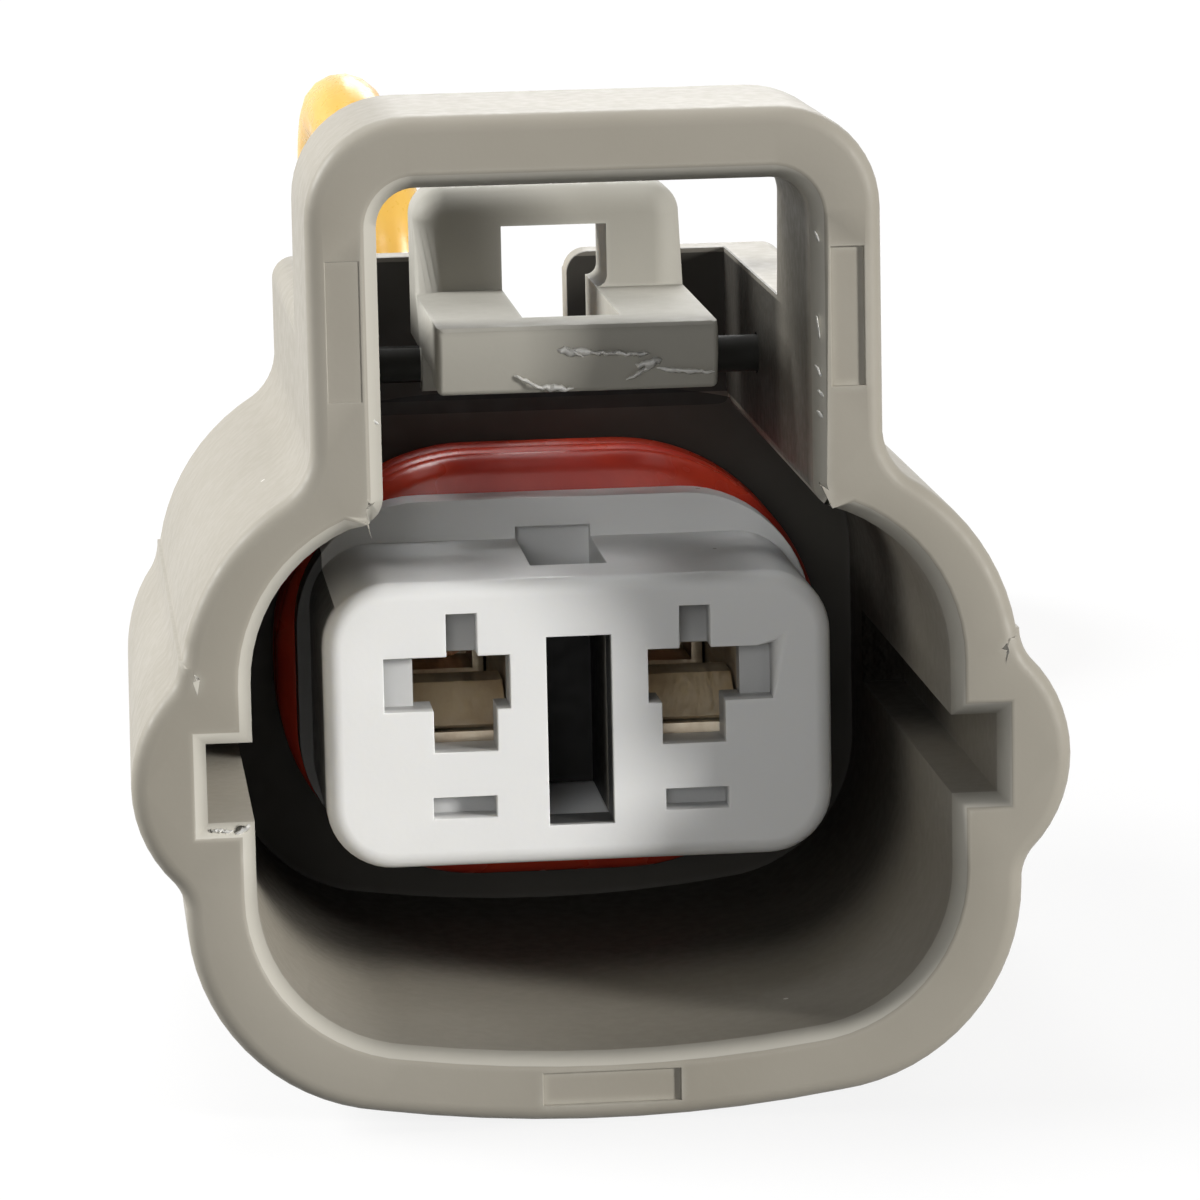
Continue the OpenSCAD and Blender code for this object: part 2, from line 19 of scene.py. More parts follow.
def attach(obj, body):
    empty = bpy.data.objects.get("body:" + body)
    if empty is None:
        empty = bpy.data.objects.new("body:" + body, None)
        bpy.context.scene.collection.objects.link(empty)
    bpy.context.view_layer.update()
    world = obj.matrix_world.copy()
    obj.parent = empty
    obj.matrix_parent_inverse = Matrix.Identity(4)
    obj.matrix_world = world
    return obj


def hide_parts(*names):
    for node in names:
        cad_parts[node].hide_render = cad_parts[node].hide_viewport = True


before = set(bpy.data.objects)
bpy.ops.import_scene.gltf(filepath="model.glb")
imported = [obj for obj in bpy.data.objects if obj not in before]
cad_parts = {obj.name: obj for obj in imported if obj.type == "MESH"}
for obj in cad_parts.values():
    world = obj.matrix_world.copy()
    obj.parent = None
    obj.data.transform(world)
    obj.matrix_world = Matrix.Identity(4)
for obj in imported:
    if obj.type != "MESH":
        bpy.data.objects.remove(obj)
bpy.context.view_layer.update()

MM = 0.001
log = logging.getLogger("plug")

# face layer that marks the lead-in band, which gets a painted highlight
LEAD_IN = "lead_in_highlight"
SHARP = math.radians(32.0)
MERGED = 0.002
BLACK = (0.0, 0.0, 0.0)
WHITE = (1.0, 1.0, 1.0, 1.0)
FLOAT = "NodeSocketFloat"

Rgb = tuple[float, float, float]
Point = tuple[float, float, float]
Pair = tuple[float, float]
Socket = bpy.types.NodeSocket
Material = bpy.types.Material
Piece = bpy.types.Object
BMesh = bmesh.types.BMesh
Edge = bmesh.types.BMEdge
EdgeTest = Callable[[Edge], bool]


class Body(Enum):
    """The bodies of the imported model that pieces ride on."""

    PLUG = "plug"
    LEVER = "lever"
    RETAINER = "retainer"


class Slot(Enum):
    """The record's material slots."""

    HOUSING = "housing_plastic"
    RETAINER = "retainer_plastic"
    SEAL = "seal_rubber"
    WIRE_SEAL = "wire_seal_rubber"
    CONTACT = "contact_metal"
    COPPER = "conductor_copper"
    ORANGE = "wire_orange"
    BROWN = "wire_brown"


# ---- Shader building ----


class Sketch:
    """Adds nodes to one tree and joins them, with few words."""

    def __init__(self, tree: bpy.types.NodeTree) -> None:
        """Starts on an empty tree.

        Args:
            tree: The node tree of a material, a world or a group.
        """
        self.tree = tree
        tree.nodes.clear()

    def add(self, kind: str, inputs: dict | None = None, **settings) -> bpy.types.Node:
        """Adds a node.

        Args:
            kind: The node's class name without its ShaderNode start.
            inputs: Values or output sockets, by the input's name or number.
            settings: Properties of the node.

        Returns:
            The new node.
        """
        node = self.tree.nodes.new(kind if kind.startswith("Node") else "ShaderNode" + kind)
        for name, value in settings.items():
            setattr(node, name, value)
        for key, value in (inputs or {}).items():
            if isinstance(value, Socket):
                self.tree.links.new(value, node.inputs[key])
            else:
                node.inputs[key].default_value = value
        return node

    def math(self, operation: str, *values, clamp: bool = False) -> Socket:
        """Adds a Math node.

        Args:
            operation: What it does.
            values: Numbers or output sockets.
            clamp: Whether the result is held between 0 and 1.

        Returns:
            Its output.
        """
        node = self.add("Math", dict(enumerate(values)), operation=operation, use_clamp=clamp)
        return node.outputs[0]

    def ramp(self, value, low: float, high: float, to_low=0.0, to_high=1.0) -> Socket:
        """Adds a smooth step.

        Args:
            value: What is mapped.
            low: Where the step starts.
            high: Where it ends.
            to_low: The result up to the start.
            to_high: The result from the end on.

        Returns:
            Its output.
        """
        node = self.add(
            "MapRange",
            {0: value, 1: low, 2: high, 3: to_low, 4: to_high},
            interpolation_type="SMOOTHSTEP",
        )
        return node.outputs[0]

    def mix(self, factor, a, b, blend: str = "MIX") -> Socket:
        """Adds a colour mix.

        Args:
            factor: The second colour's share.
            a: The first colour.
            b: The second colour.
            blend: How they are mixed.

        Returns:
            Its output.
        """
        node = self.add("Mix", data_type="RGBA", blend_type=blend)
        for key, value in ((0, factor), (6, a), (7, b)):
            if isinstance(value, Socket):
                self.tree.links.new(value, node.inputs[key])
            elif key == 0:
                node.inputs[key].default_value = value
            else:
                node.inputs[key].default_value = (*value, 1.0)
        return node.outputs[2]


def group(
    name: str, inputs: dict[str, float], outputs: dict[str, str]
) -> tuple[Sketch, bpy.types.Node, bpy.types.Node]:
    """Starts a shader group with named sockets.

    Args:
        name: The group's name.
        inputs: Float inputs and their defaults.
        outputs: Output names and their socket kinds.

    Returns:
        The sketch of the group's tree, its input node and its output node.
    """
    tree = bpy.data.node_groups.new(name, "ShaderNodeTree")
    for key, value in inputs.items():
        socket = tree.interface.new_socket(key, in_out="INPUT", socket_type="NodeSocketFloat")
        socket.default_value = value
    for key, kind in outputs.items():
        tree.interface.new_socket(key, in_out="OUTPUT", socket_type=kind)
    sketch = Sketch(tree)
    return sketch, sketch.add("NodeGroupInput"), sketch.add("NodeGroupOutput")


def start_material(name: str) -> tuple[Material, Sketch]:
    """Starts a material.

    Args:
        name: The material's name.

    Returns:
        The material and the sketch of its tree.
    """
    material = bpy.data.materials.new(name)
    material.use_nodes = True
    return material, Sketch(material.node_tree)


def seen_mask(k: Sketch) -> Socket:
    """Adds the mask of the rays that see a thing: straight, by reflection or through glass.

    Args:
        k: The sketch of a material's or world's own tree.

    Returns:
        The mask.
    """
    path = k.add("LightPath").outputs
    seen = k.math("MAXIMUM", path["Is Camera Ray"], path["Is Glossy Ray"])
    return k.math("MAXIMUM", seen, path["Is Transmission Ray"])


class Effects:
    """The shader groups that several finishes share, each built once."""

    def __init__(self) -> None:
        """Builds the groups."""
        self.grain = self._grain()
        self.edges = self._edge_wear_and_highlight()
        self.specks = self._specks()
        self.painted_shade = self._painted_shade_group()

    @staticmethod
    def _grain() -> bpy.types.NodeTree:
        """Soft clouds and a fine spark-eroded grain, as on a moulded or extruded surface."""
        k, given, result = group(
            "moulding_grain",
            {"Cloud Scale": 140.0, "Grain Scale": 3200.0, "Grain Depth": 1.0},
            {"Cloud": FLOAT, "Grain": FLOAT, "Height": FLOAT},
        )
        place = k.add("TexCoord").outputs["Object"]
        cloud = k.add(
            "TexNoise", {"Vector": place, "Scale": given.outputs[0], "Detail": 3.0, "Roughness": 0.55}
        ).outputs[0]
        fine = k.add(
            "TexNoise", {"Vector": place, "Scale": given.outputs[1], "Detail": 2.0, "Roughness": 0.6}
        ).outputs[0]
        height = k.math("MULTIPLY", k.math("ADD", fine, k.math("MULTIPLY", cloud, 0.8)), given.outputs[2])
        for key, value in (("Cloud", cloud), ("Grain", fine), ("Height", height)):
            k.tree.links.new(value, result.inputs[key])
        return k.tree

    @staticmethod
    def _edge_wear_and_highlight() -> bpy.types.NodeTree:
        """A mask of the rounded outer edges, broken up by noise: paler edges that are partly wear, partly
        painted highlight.
        """
        k, given, result = group(
            "edge_wear_and_highlight", {"Radius": 0.0003, "Breakup": 0.4, "Scale": 900.0}, {"Mask": FLOAT}
        )
        rounded = k.add("Bevel", {"Radius": given.outputs[0]}, samples=6).outputs[0]
        true = k.add("NewGeometry").outputs["Normal"]
        dot = k.add("VectorMath", {0: rounded, 1: true}, operation="DOT_PRODUCT").outputs["Value"]
        bend = k.ramp(k.math("SUBTRACT", 1.0, dot), 0.005, 0.09)
        place = k.add("TexCoord").outputs["Object"]
        rough = k.add("TexNoise", {"Vector": place, "Scale": given.outputs[2], "Detail": 3.0}).outputs[0]
        cut = k.math("MULTIPLY", k.ramp(rough, 0.35, 0.62), given.outputs[1])
        mask = k.math("MULTIPLY", bend, k.math("SUBTRACT", 1.0, cut), clamp=True)
        k.tree.links.new(mask, result.inputs[0])
        return k.tree

    @staticmethod
    def _specks() -> bpy.types.NodeTree:
        """A mask of sparse small specks of dust."""
        k, given, result = group(
            "dust_specks", {"Scale": 1500.0, "Share": 0.02, "Size": 0.09}, {"Mask": FLOAT}
        )
        place = k.add("TexCoord").outputs["Object"]
        cells = k.add("TexVoronoi", {"Vector": place, "Scale": given.outputs[0]})
        drawn = k.add("SeparateColor", {0: cells.outputs["Color"]}).outputs[0]
        chosen = k.math("LESS_THAN", drawn, given.outputs[1])
        dot = k.math("LESS_THAN", cells.outputs["Distance"], given.outputs[2])
        k.tree.links.new(k.math("MULTIPLY", chosen, dot), result.inputs[0])
        return k.tree

    @staticmethod
    def _painted_shade_group() -> bpy.types.NodeTree:
        """The mask of painted shade: it rises with depth inside a rounded box and ends at its bottom."""
        k, given, result = group(
            "painted_shade_by_depth",
            {
                "Middle X": 0.0,
                "Half X": 1.0,
                "Middle Z": 0.0,
                "Half Z": 1.0,
                "Start": 0.0,
                "Full": 1.0,
                "End": 2.0,
                "Power": 40.0,
            },
            {"Mask": FLOAT},
        )
        place = k.add("SeparateXYZ", {0: k.add("TexCoord").outputs["Object"]}).outputs
        reach = []
        for axis, centre in ((0, "Middle X"), (2, "Middle Z")):
            half = given.outputs[centre.replace("Middle", "Half")]
            away = k.math("ABSOLUTE", k.math("SUBTRACT", place[axis], given.outputs[centre]))
            reach.append(k.math("POWER", k.math("DIVIDE", away, half), given.outputs["Power"]))
        mask = k.math("LESS_THAN", k.math("ADD", *reach), 1.0)
        mask = k.math("MULTIPLY", mask, k.ramp(place[1], given.outputs["Start"], given.outputs["Full"]))
        mask = k.math("MULTIPLY", mask, k.math("LESS_THAN", place[1], given.outputs["End"]))
        k.tree.links.new(mask, result.inputs[0])
        return k.tree


@dataclass(frozen=True)
class PaintedShadeBox:
    """A rounded box of painted shade, which darkens a finish with depth, in millimetres."""

    middle: Pair
    half: Pair
    depths: Point
    kept: float
    power: float = 40.0

    def darken(self, k: Sketch, effects: Effects, colour: Socket) -> Socket:
        """Paints the box's shade over a colour.

        Args:
            k: The sketch of the material's tree.
            effects: The shared shader groups.
            colour: The colour so far.

        Returns:
            The new colour.
        """
        values = {"Power": self.power}
        for axis, centre, half in zip("XZ", self.middle, self.half):
            values[f"Middle {axis}"] = centre * MM
            values[f"Half {axis}"] = half * MM
        for name, depth in zip(("Start", "Full", "End"), self.depths):
            values[name] = depth * MM
        box = k.add("Group", values, node_tree=effects.painted_shade)
        shade = k.math("MULTIPLY", box.outputs["Mask"], 1.0 - self.kept)
        return k.mix(shade, colour, BLACK)


@dataclass(frozen=True)
class MouldedPlastic:
    """A moulded or extruded plastic: satin, lightly clouded, paler along its rounded edges (partly wear,
    partly painted highlight), with a painted highlight on its lead-in band and painted shade in deep
    places.
    """

    name: str
    tone: Rgb
    shade: Rgb
    pale: Rgb
    roughness: float = 0.42
    gloss: float = 0.45
    cloud_scale: float = 140.0
    cloud: float = 0.5
    grain_scale: float = 3200.0
    grain_depth: float = 0.000012
    # share of the paler rounded edges: partly wear, partly painted highlight
    edge: float = 0.5
    edge_radius: float = 0.0003
    speck: Rgb = (0.75, 0.74, 0.7)
    speck_share: float = 0.02
    subsurface: float = 0.0
    # share of the painted highlight on the lead-in band
    lead_in_highlight: float = 0.0
    # boxes of painted shade, darker with depth where shadow falls
    painted_shades: tuple[PaintedShadeBox, ...] = ()

    def build(self, effects: Effects) -> Material:
        """Makes the material.

        Args:
            effects: The shared shader groups.

        Returns:
            The material.
        """
        material, k = start_material(self.name)
        scales = {
            "Cloud Scale": self.cloud_scale,
            "Grain Scale": self.grain_scale,
            "Grain Depth": self.grain_depth,
        }
        grain = k.add("Group", scales, node_tree=effects.grain)
        edges = k.add("Group", {"Radius": self.edge_radius}, node_tree=effects.edges)
        specks = k.add("Group", {"Share": self.speck_share}, node_tree=effects.specks)
        clouds = k.ramp(grain.outputs["Cloud"], 0.36, 0.64, 0.0, self.cloud)
        colour = k.mix(clouds, self.tone, self.shade)
        # paler rounded edges: partly wear, partly painted highlight
        colour = k.mix(k.math("MULTIPLY", edges.outputs["Mask"], self.edge), colour, self.pale)
        # painted highlight on the lead-in band
        if self.lead_in_highlight:
            band = k.add("Attribute", attribute_name=LEAD_IN).outputs["Fac"]
            colour = k.mix(k.math("MULTIPLY", band, self.lead_in_highlight), colour, self.pale)
        colour = k.mix(specks.outputs["Mask"], colour, self.speck)
        # painted shade: each box darkens the colour with depth, where shadow falls
        for painted_shade in self.painted_shades:
            colour = painted_shade.darken(k, effects, colour)
        rough = k.ramp(grain.outputs["Grain"], 0.3, 0.7, self.roughness - 0.05, self.roughness + 0.07)
        bump = k.add("Bump", {"Height": grain.outputs["Height"], "Strength": 0.35, "Distance": 1.0})
        sockets = {
            "Base Color": colour,
            "Roughness": rough,
            "Normal": bump.outputs[0],
            "Specular IOR Level": self.gloss,
        }
        if self.subsurface:
            sockets |= {
                "Subsurface Weight": self.subsurface,
                "Subsurface Radius": (0.0012, 0.0011, 0.0009),
                "Subsurface Scale": 1.0,
            }
        surface = k.add("BsdfPrincipled", sockets)
        k.tree.links.new(surface.outputs[0], k.add("OutputMaterial").inputs[0])
        return material


@dataclass(frozen=True)
class SealRubber:
    """Moist silicone: deep colour, soft gloss and a faint bloom."""

    name: str
    tone: Rgb
    shade: Rgb
    roughness: float = 0.28
    subsurface: float = 0.25

    def build(self, effects: Effects) -> Material:
        """Makes the material.

        Args:
            effects: The shared shader groups.

        Returns:
            The material.
        """
        material, k = start_material(self.name)
        scales = {"Cloud Scale": 420.0, "Grain Scale": 2400.0, "Grain Depth": 0.00002}
        grain = k.add("Group", scales, node_tree=effects.grain)
        colour = k.mix(k.ramp(grain.outputs["Cloud"], 0.35, 0.65), self.tone, self.shade)
        rough = k.ramp(grain.outputs["Cloud"], 0.3, 0.7, self.roughness - 0.06, self.roughness + 0.14)
        bump = k.add("Bump", {"Height": grain.outputs["Height"], "Strength": 0.4, "Distance": 1.0})
        surface = k.add(
            "BsdfPrincipled",
            {
                "Base Color": colour,
                "Roughness": rough,
                "Normal": bump.outputs[0],
                "Specular IOR Level": 0.6,
                "Subsurface Weight": self.subsurface,
                "Subsurface Radius": (0.0016, 0.0004, 0.0003),
                "Subsurface Scale": 1.0,
            },
        )
        k.tree.links.new(surface.outputs[0], k.add("OutputMaterial").inputs[0])
        return material


@dataclass(frozen=True)
class RolledMetal:
    """Thin plated strip or drawn wire: metallic, finely scratched along Y."""

    name: str
    tone: Rgb
    tarnish: Rgb
    roughness: float = 0.32
    strands: float = 0.0

    def build(self, effects: Effects) -> Material:
        """Makes the material.

        Args:
            effects: The shared shader groups.

        Returns:
            The material.
        """
        material, k = start_material(self.name)
        scales = {"Cloud Scale": 500.0, "Grain Scale": 2600.0, "Grain Depth": 0.000006}
        grain = k.add("Group", scales, node_tree=effects.grain)
        place = k.add("TexCoord").outputs["Object"]
        stretched = k.add("Mapping", {"Vector": place, "Scale": (9000.0, 260.0, 9000.0)}).outputs[0]
        lines = k.add("TexNoise", {"Vector": stretched, "Scale": 1.0, "Detail": 2.0}).outputs[0]
        colour = k.mix(k.ramp(grain.outputs["Cloud"], 0.4, 0.68), self.tone, self.tarnish)
        rough = k.ramp(lines, 0.3, 0.7, self.roughness - 0.08, self.roughness + 0.12)
        height = grain.outputs["Height"]
        if self.strands:
            turned = k.add("Mapping", {"Vector": place, "Rotation": (0.0, 0.5, 0.35)}).outputs[0]
            wave = k.add("TexWave", {"Vector": turned, "Scale": 900.0, "Distortion": 0.4}).outputs[1]
            height = k.math("ADD", height, k.math("MULTIPLY", wave, self.strands))
        bump = k.add("Bump", {"Height": height, "Strength": 0.5, "Distance": 1.0})
        surface = k.add(
            "BsdfPrincipled",
            {"Base Color": colour, "Roughness": rough, "Normal": bump.outputs[0], "Metallic": 1.0},
        )
        k.tree.links.new(surface.outputs[0], k.add("OutputMaterial").inputs[0])
        return material


class Palette:
    """Every finish of the plug, built once."""

    def __init__(self) -> None:
        """Builds the materials."""
        effects = Effects()
        self.housing = MouldedPlastic(
            "grey_moulding",
            tone=(0.36, 0.335, 0.285),
            shade=(0.31, 0.285, 0.235),
            pale=(0.56, 0.54, 0.48),
            roughness=0.46,
            gloss=0.22,
            edge=0.45,
            # painted highlight on the lead-in band
            lead_in_highlight=0.9,
            # painted shade, darker with depth: inside the mouth, under the arch and along the neck, beside
            # the lever, and down the tower's central slot
            painted_shades=(
                PaintedShadeBox((0.0, 7.1), (8.3, 6.2), (-8.6, -4.5, 1.2), 0.2, power=3.0),
                PaintedShadeBox((0.0, 16.2), (4.45, 3.4), (-13.4, -12.6, 1.2), 0.4),
                PaintedShadeBox((0.0, 14.7), (4.95, 1.6), (-9.5, -7.5, 1.2), 0.25),
                PaintedShadeBox((0.0, 7.2), (0.72, 2.2), (-7.2, -6.4, 0.0), 0.1),
            ),
        ).build(effects)
        self.lever = MouldedPlastic(
            "grey_lever_moulding",
            tone=(0.42, 0.405, 0.36),
            shade=(0.37, 0.355, 0.31),
            pale=(0.6, 0.59, 0.54),
            roughness=0.55,
            gloss=0.12,
            edge=0.4,
            edge_radius=0.00018,
            # painted shade on the pivot stubs beside the front bar
            painted_shades=(
                PaintedShadeBox((-4.0, 14.7), (1.02, 0.7), (-7.0, -6.0, -3.0), 0.06),
                PaintedShadeBox((4.0, 14.7), (1.02, 0.7), (-7.0, -6.0, -3.0), 0.06),
            ),
        ).build(effects)
        self.retainer = MouldedPlastic(
            "white_moulding",
            tone=(0.86, 0.865, 0.86),
            shade=(0.8, 0.805, 0.8),
            pale=(0.9, 0.9, 0.89),
            roughness=0.4,
            edge=0.4,
            edge_radius=0.0002,
            speck=(0.35, 0.33, 0.3),
            speck_share=0.01,
            subsurface=0.1,
            # painted shade in the blind pockets and the central slot, and a painted shadow on the left side
            painted_shades=(
                PaintedShadeBox((0.0, 7.6), (4.75, 2.4), (-8.3, -7.9, -7.0), 0.55),
                PaintedShadeBox((0.0, 7.2), (0.71, 2.2), (-8.35, -8.1, -7.0), 0.15),
                PaintedShadeBox((-5.6, 7.4), (0.45, 4.5), (-8.1, -7.5, 0.0), 0.12),
            ),
        ).build(effects)
        self.seal = SealRubber(
            "red_seal_rubber", tone=(0.8, 0.075, 0.035), shade=(0.6, 0.045, 0.025)
        ).build(effects)
        self.wire_seal = SealRubber(
            "red_wire_seal_rubber", tone=(0.46, 0.06, 0.03), shade=(0.34, 0.035, 0.02), roughness=0.4
        ).build(effects)
        self.contact = RolledMetal(
            "tinned_strip", tone=(0.8, 0.72, 0.58), tarnish=(0.6, 0.5, 0.38), roughness=0.5
        ).build(effects)
        self.copper = RolledMetal(
            "copper_strands", tone=(0.85, 0.48, 0.3), tarnish=(0.6, 0.3, 0.18), strands=0.00006
        ).build(effects)
        self.orange = MouldedPlastic(
            "orange_insulation",
            tone=(0.82, 0.5, 0.09),
            shade=(0.78, 0.42, 0.07),
            pale=(0.98, 0.6, 0.2),
            roughness=0.3,
            gloss=0.5,
            edge=0.0,
            speck_share=0.0,
            subsurface=0.2,
        ).build(effects)
        self.brown = MouldedPlastic(
            "brown_insulation",
            tone=(0.13, 0.035, 0.022),
            shade=(0.1, 0.028, 0.018),
            pale=(0.2, 0.07, 0.05),
            roughness=0.32,
            gloss=0.5,
            edge=0.0,
            speck_share=0.0,
        ).build(effects)
        self.flash = MouldedPlastic(
            "torn_flash",
            tone=(0.85, 0.84, 0.8),
            shade=(0.62, 0.61, 0.57),
            pale=(0.85, 0.84, 0.8),
            roughness=0.35,
            gloss=0.6,
            cloud_scale=1500.0,
            edge=0.0,
            speck_share=0.0,
            subsurface=0.2,
        ).build(effects)
        self.tape = MouldedPlastic(
            "black_tape",
            tone=(0.012, 0.012, 0.013),
            shade=(0.02, 0.02, 0.021),
            pale=(0.05, 0.05, 0.052),
            roughness=0.38,
            edge=0.3,
            edge_radius=0.0001,
            speck_share=0.0,
        ).build(effects)


# ---- Studio ----


def add_object(name: str, data: bpy.types.ID) -> Piece:
    """Adds an object to the scene.

    Args:
        name: Its name.
        data: Its mesh, curve, lamp or camera.

    Returns:
        The new object.
    """
    made = bpy.data.objects.new(name, data)
    bpy.context.scene.collection.objects.link(made)
    return made


@dataclass(frozen=True)
class Viewpoint:
    """The camera: where it stands, how it is turned and how long its lens is."""

    place: Point = (-0.011581, -0.130972, 0.031461)
    right: Point = (0.99464204, -0.10138153, -0.0202235)
    down: Point = (-0.03722057, -0.16868625, -0.98496679)
    ahead: Point = (0.09644601, 0.98044211, -0.17155591)
    lens: float = 176.1
    sensor: float = 36.0

    def build(self) -> Piece:
        """Makes the camera and sets it as the scene's own.

        Returns:
            The camera.
        """
        data = bpy.data.cameras.new("camera")
        data.lens = self.lens
        data.sensor_width = self.sensor
        data.clip_start = 0.005
        data.clip_end = 20.0
        camera = add_object("camera", data)
        turn = Matrix((self.right, [-v for v in self.down], [-v for v in self.ahead])).transposed()
        camera.matrix_world = Matrix.Translation(self.place) @ turn.to_4x4()
        bpy.context.scene.camera = camera
        return camera


@dataclass(frozen=True)
class Lamp:
    """A soft square lamp that faces a point of the plug."""

    name: str
    place: Point
    size: float
    power: float
    tint: Rgb = (1.0, 1.0, 1.0)
    target: Point = (0.0, -0.012, 0.009)

    def build(self) -> Piece:
        """Makes the lamp.

        Returns:
            The lamp.
        """
        data = bpy.data.lights.new(self.name, "AREA")
        data.size = self.size
        data.energy = self.power
        data.color = self.tint
        lamp = add_object(self.name, data)
        lamp.location = self.place
        aim = Vector(self.target) - Vector(self.place)
        lamp.rotation_euler = aim.to_track_quat("-Z", "Y").to_euler()
        return lamp


@dataclass
class Studio:
    """A pale floor, a white surrounding and soft lamps."""

    ambient: float = 0.07
    floor_light: float = 0.12
    floor_tone: float = 0.95
    floor_white: float = 0.85
    floor_z: float = -0.00002
    floor_size: float = 4.0
    lamps: list[Lamp] = field(
        default_factory=lambda: [
            Lamp("key_lamp", (0.46, -0.38, 0.125), 0.1, 3.4, (1.0, 0.985, 0.96)),
            Lamp("left_lamp", (-0.52, 0.12, 0.3), 0.3, 5.0, (1.0, 1.0, 0.99)),
            Lamp("top_lamp", (-0.1, 0.12, 0.6), 0.2, 1.0, (0.98, 0.99, 1.0)),
            Lamp("back_lamp", (0.15, 0.6, 0.35), 0.3, 1.6),
            Lamp("front_lamp", (-0.25, -0.9, 0.25), 0.3, 1.7),
        ]
    )

    def build(self) -> None:
        """Makes the floor, the world and the lamps."""
        self._world()
        self._floor()
        for lamp in self.lamps:
            lamp.build()

    def _world(self) -> None:
        """A white surrounding for what is seen, and a dimmer one as light."""
        world = bpy.data.worlds.new("studio")
        bpy.context.scene.world = world
        world.use_nodes = True
        k = Sketch(world.node_tree)
        light = k.add("Background", {"Color": WHITE, "Strength": self.ambient})
        white = k.add("Background", {"Color": WHITE, "Strength": 1.0})
        both = k.add("MixShader", {0: seen_mask(k), 1: light.outputs[0], 2: white.outputs[0]})
        k.tree.links.new(both.outputs[0], k.add("OutputWorld").inputs[0])

    def _floor(self) -> None:
        """A wide pale floor that keeps the plug's shadow and throws little light back."""
        mesh = bpy.data.meshes.new("floor")
        bm = bmesh.new()
        bmesh.ops.create_grid(bm, x_segments=1, y_segments=1, size=self.floor_size / 2)
        bmesh.ops.translate(bm, verts=bm.verts, vec=(0, 0, self.floor_z))
        bm.to_mesh(mesh)
        bm.free()
        floor = add_object("floor", mesh)
        material, k = start_material("pale_floor")
        seen = seen_mask(k)
        matt = k.add("BsdfDiffuse", {"Color": k.mix(seen, (self.floor_light,) * 3, (self.floor_tone,) * 3)})
        white = k.add("Emission", {"Color": WHITE, "Strength": 1.0})
        share = k.math("MULTIPLY", seen, self.floor_white)
        both = k.add("MixShader", {0: share, 1: matt.outputs[0], 2: white.outputs[0]})
        k.tree.links.new(both.outputs[0], k.add("OutputMaterial").inputs[0])
        mesh.materials.append(material)


# ---- Making pieces ----


def new_piece(name: str, bm: BMesh, material: Material) -> Piece:
    """Turns a bmesh into a smoothly shaded piece at the origin and frees it.

    Args:
        name: The piece's name.
        bm: Its mesh, in place.
        material: Its finish.

    Returns:
        The new object.
    """
    mesh = bpy.data.meshes.new(name)
    bmesh.ops.recalc_face_normals(bm, faces=bm.faces)
    bm.to_mesh(mesh)
    bm.free()
    mesh.shade_smooth()
    mesh.materials.append(material)
    mesh.set_sharp_from_angle(angle=SHARP)
    return add_object(name, mesh)


def settle(piece: Piece, body: Body, slot: Slot, *nodes: str) -> Piece:
    """Puts a piece on its body and logs it.

    Args:
        piece: The piece.
        body: The body that it rides on.
        slot: The material slot that it belongs to; not used.
        nodes: The frame's nodes that it stands for.

    Returns:
        The same piece.
    """
    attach(piece, body.value)
    if nodes:
        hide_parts(*nodes)
    log.info("%s on %s, %d faces", piece.name, body.value, len(getattr(piece.data, "polygons", ())))
    return piece


def flatten_normals(piece: Piece) -> None:
    """Gives flat faces flat shading and rounds soft shading, by face area."""
    modifier = piece.modifiers.new("weighted_normals", "WEIGHTED_NORMAL")
    modifier.weight = 60
    modifier.keep_sharp = True


@dataclass(frozen=True)
class Rounding:
    """A radius for the edges that pass a test; band marks the new faces as the lead-in band."""

    radius: float
    test: EdgeTest
    segments: int = 4
    band: bool = False
    clamp: bool = False


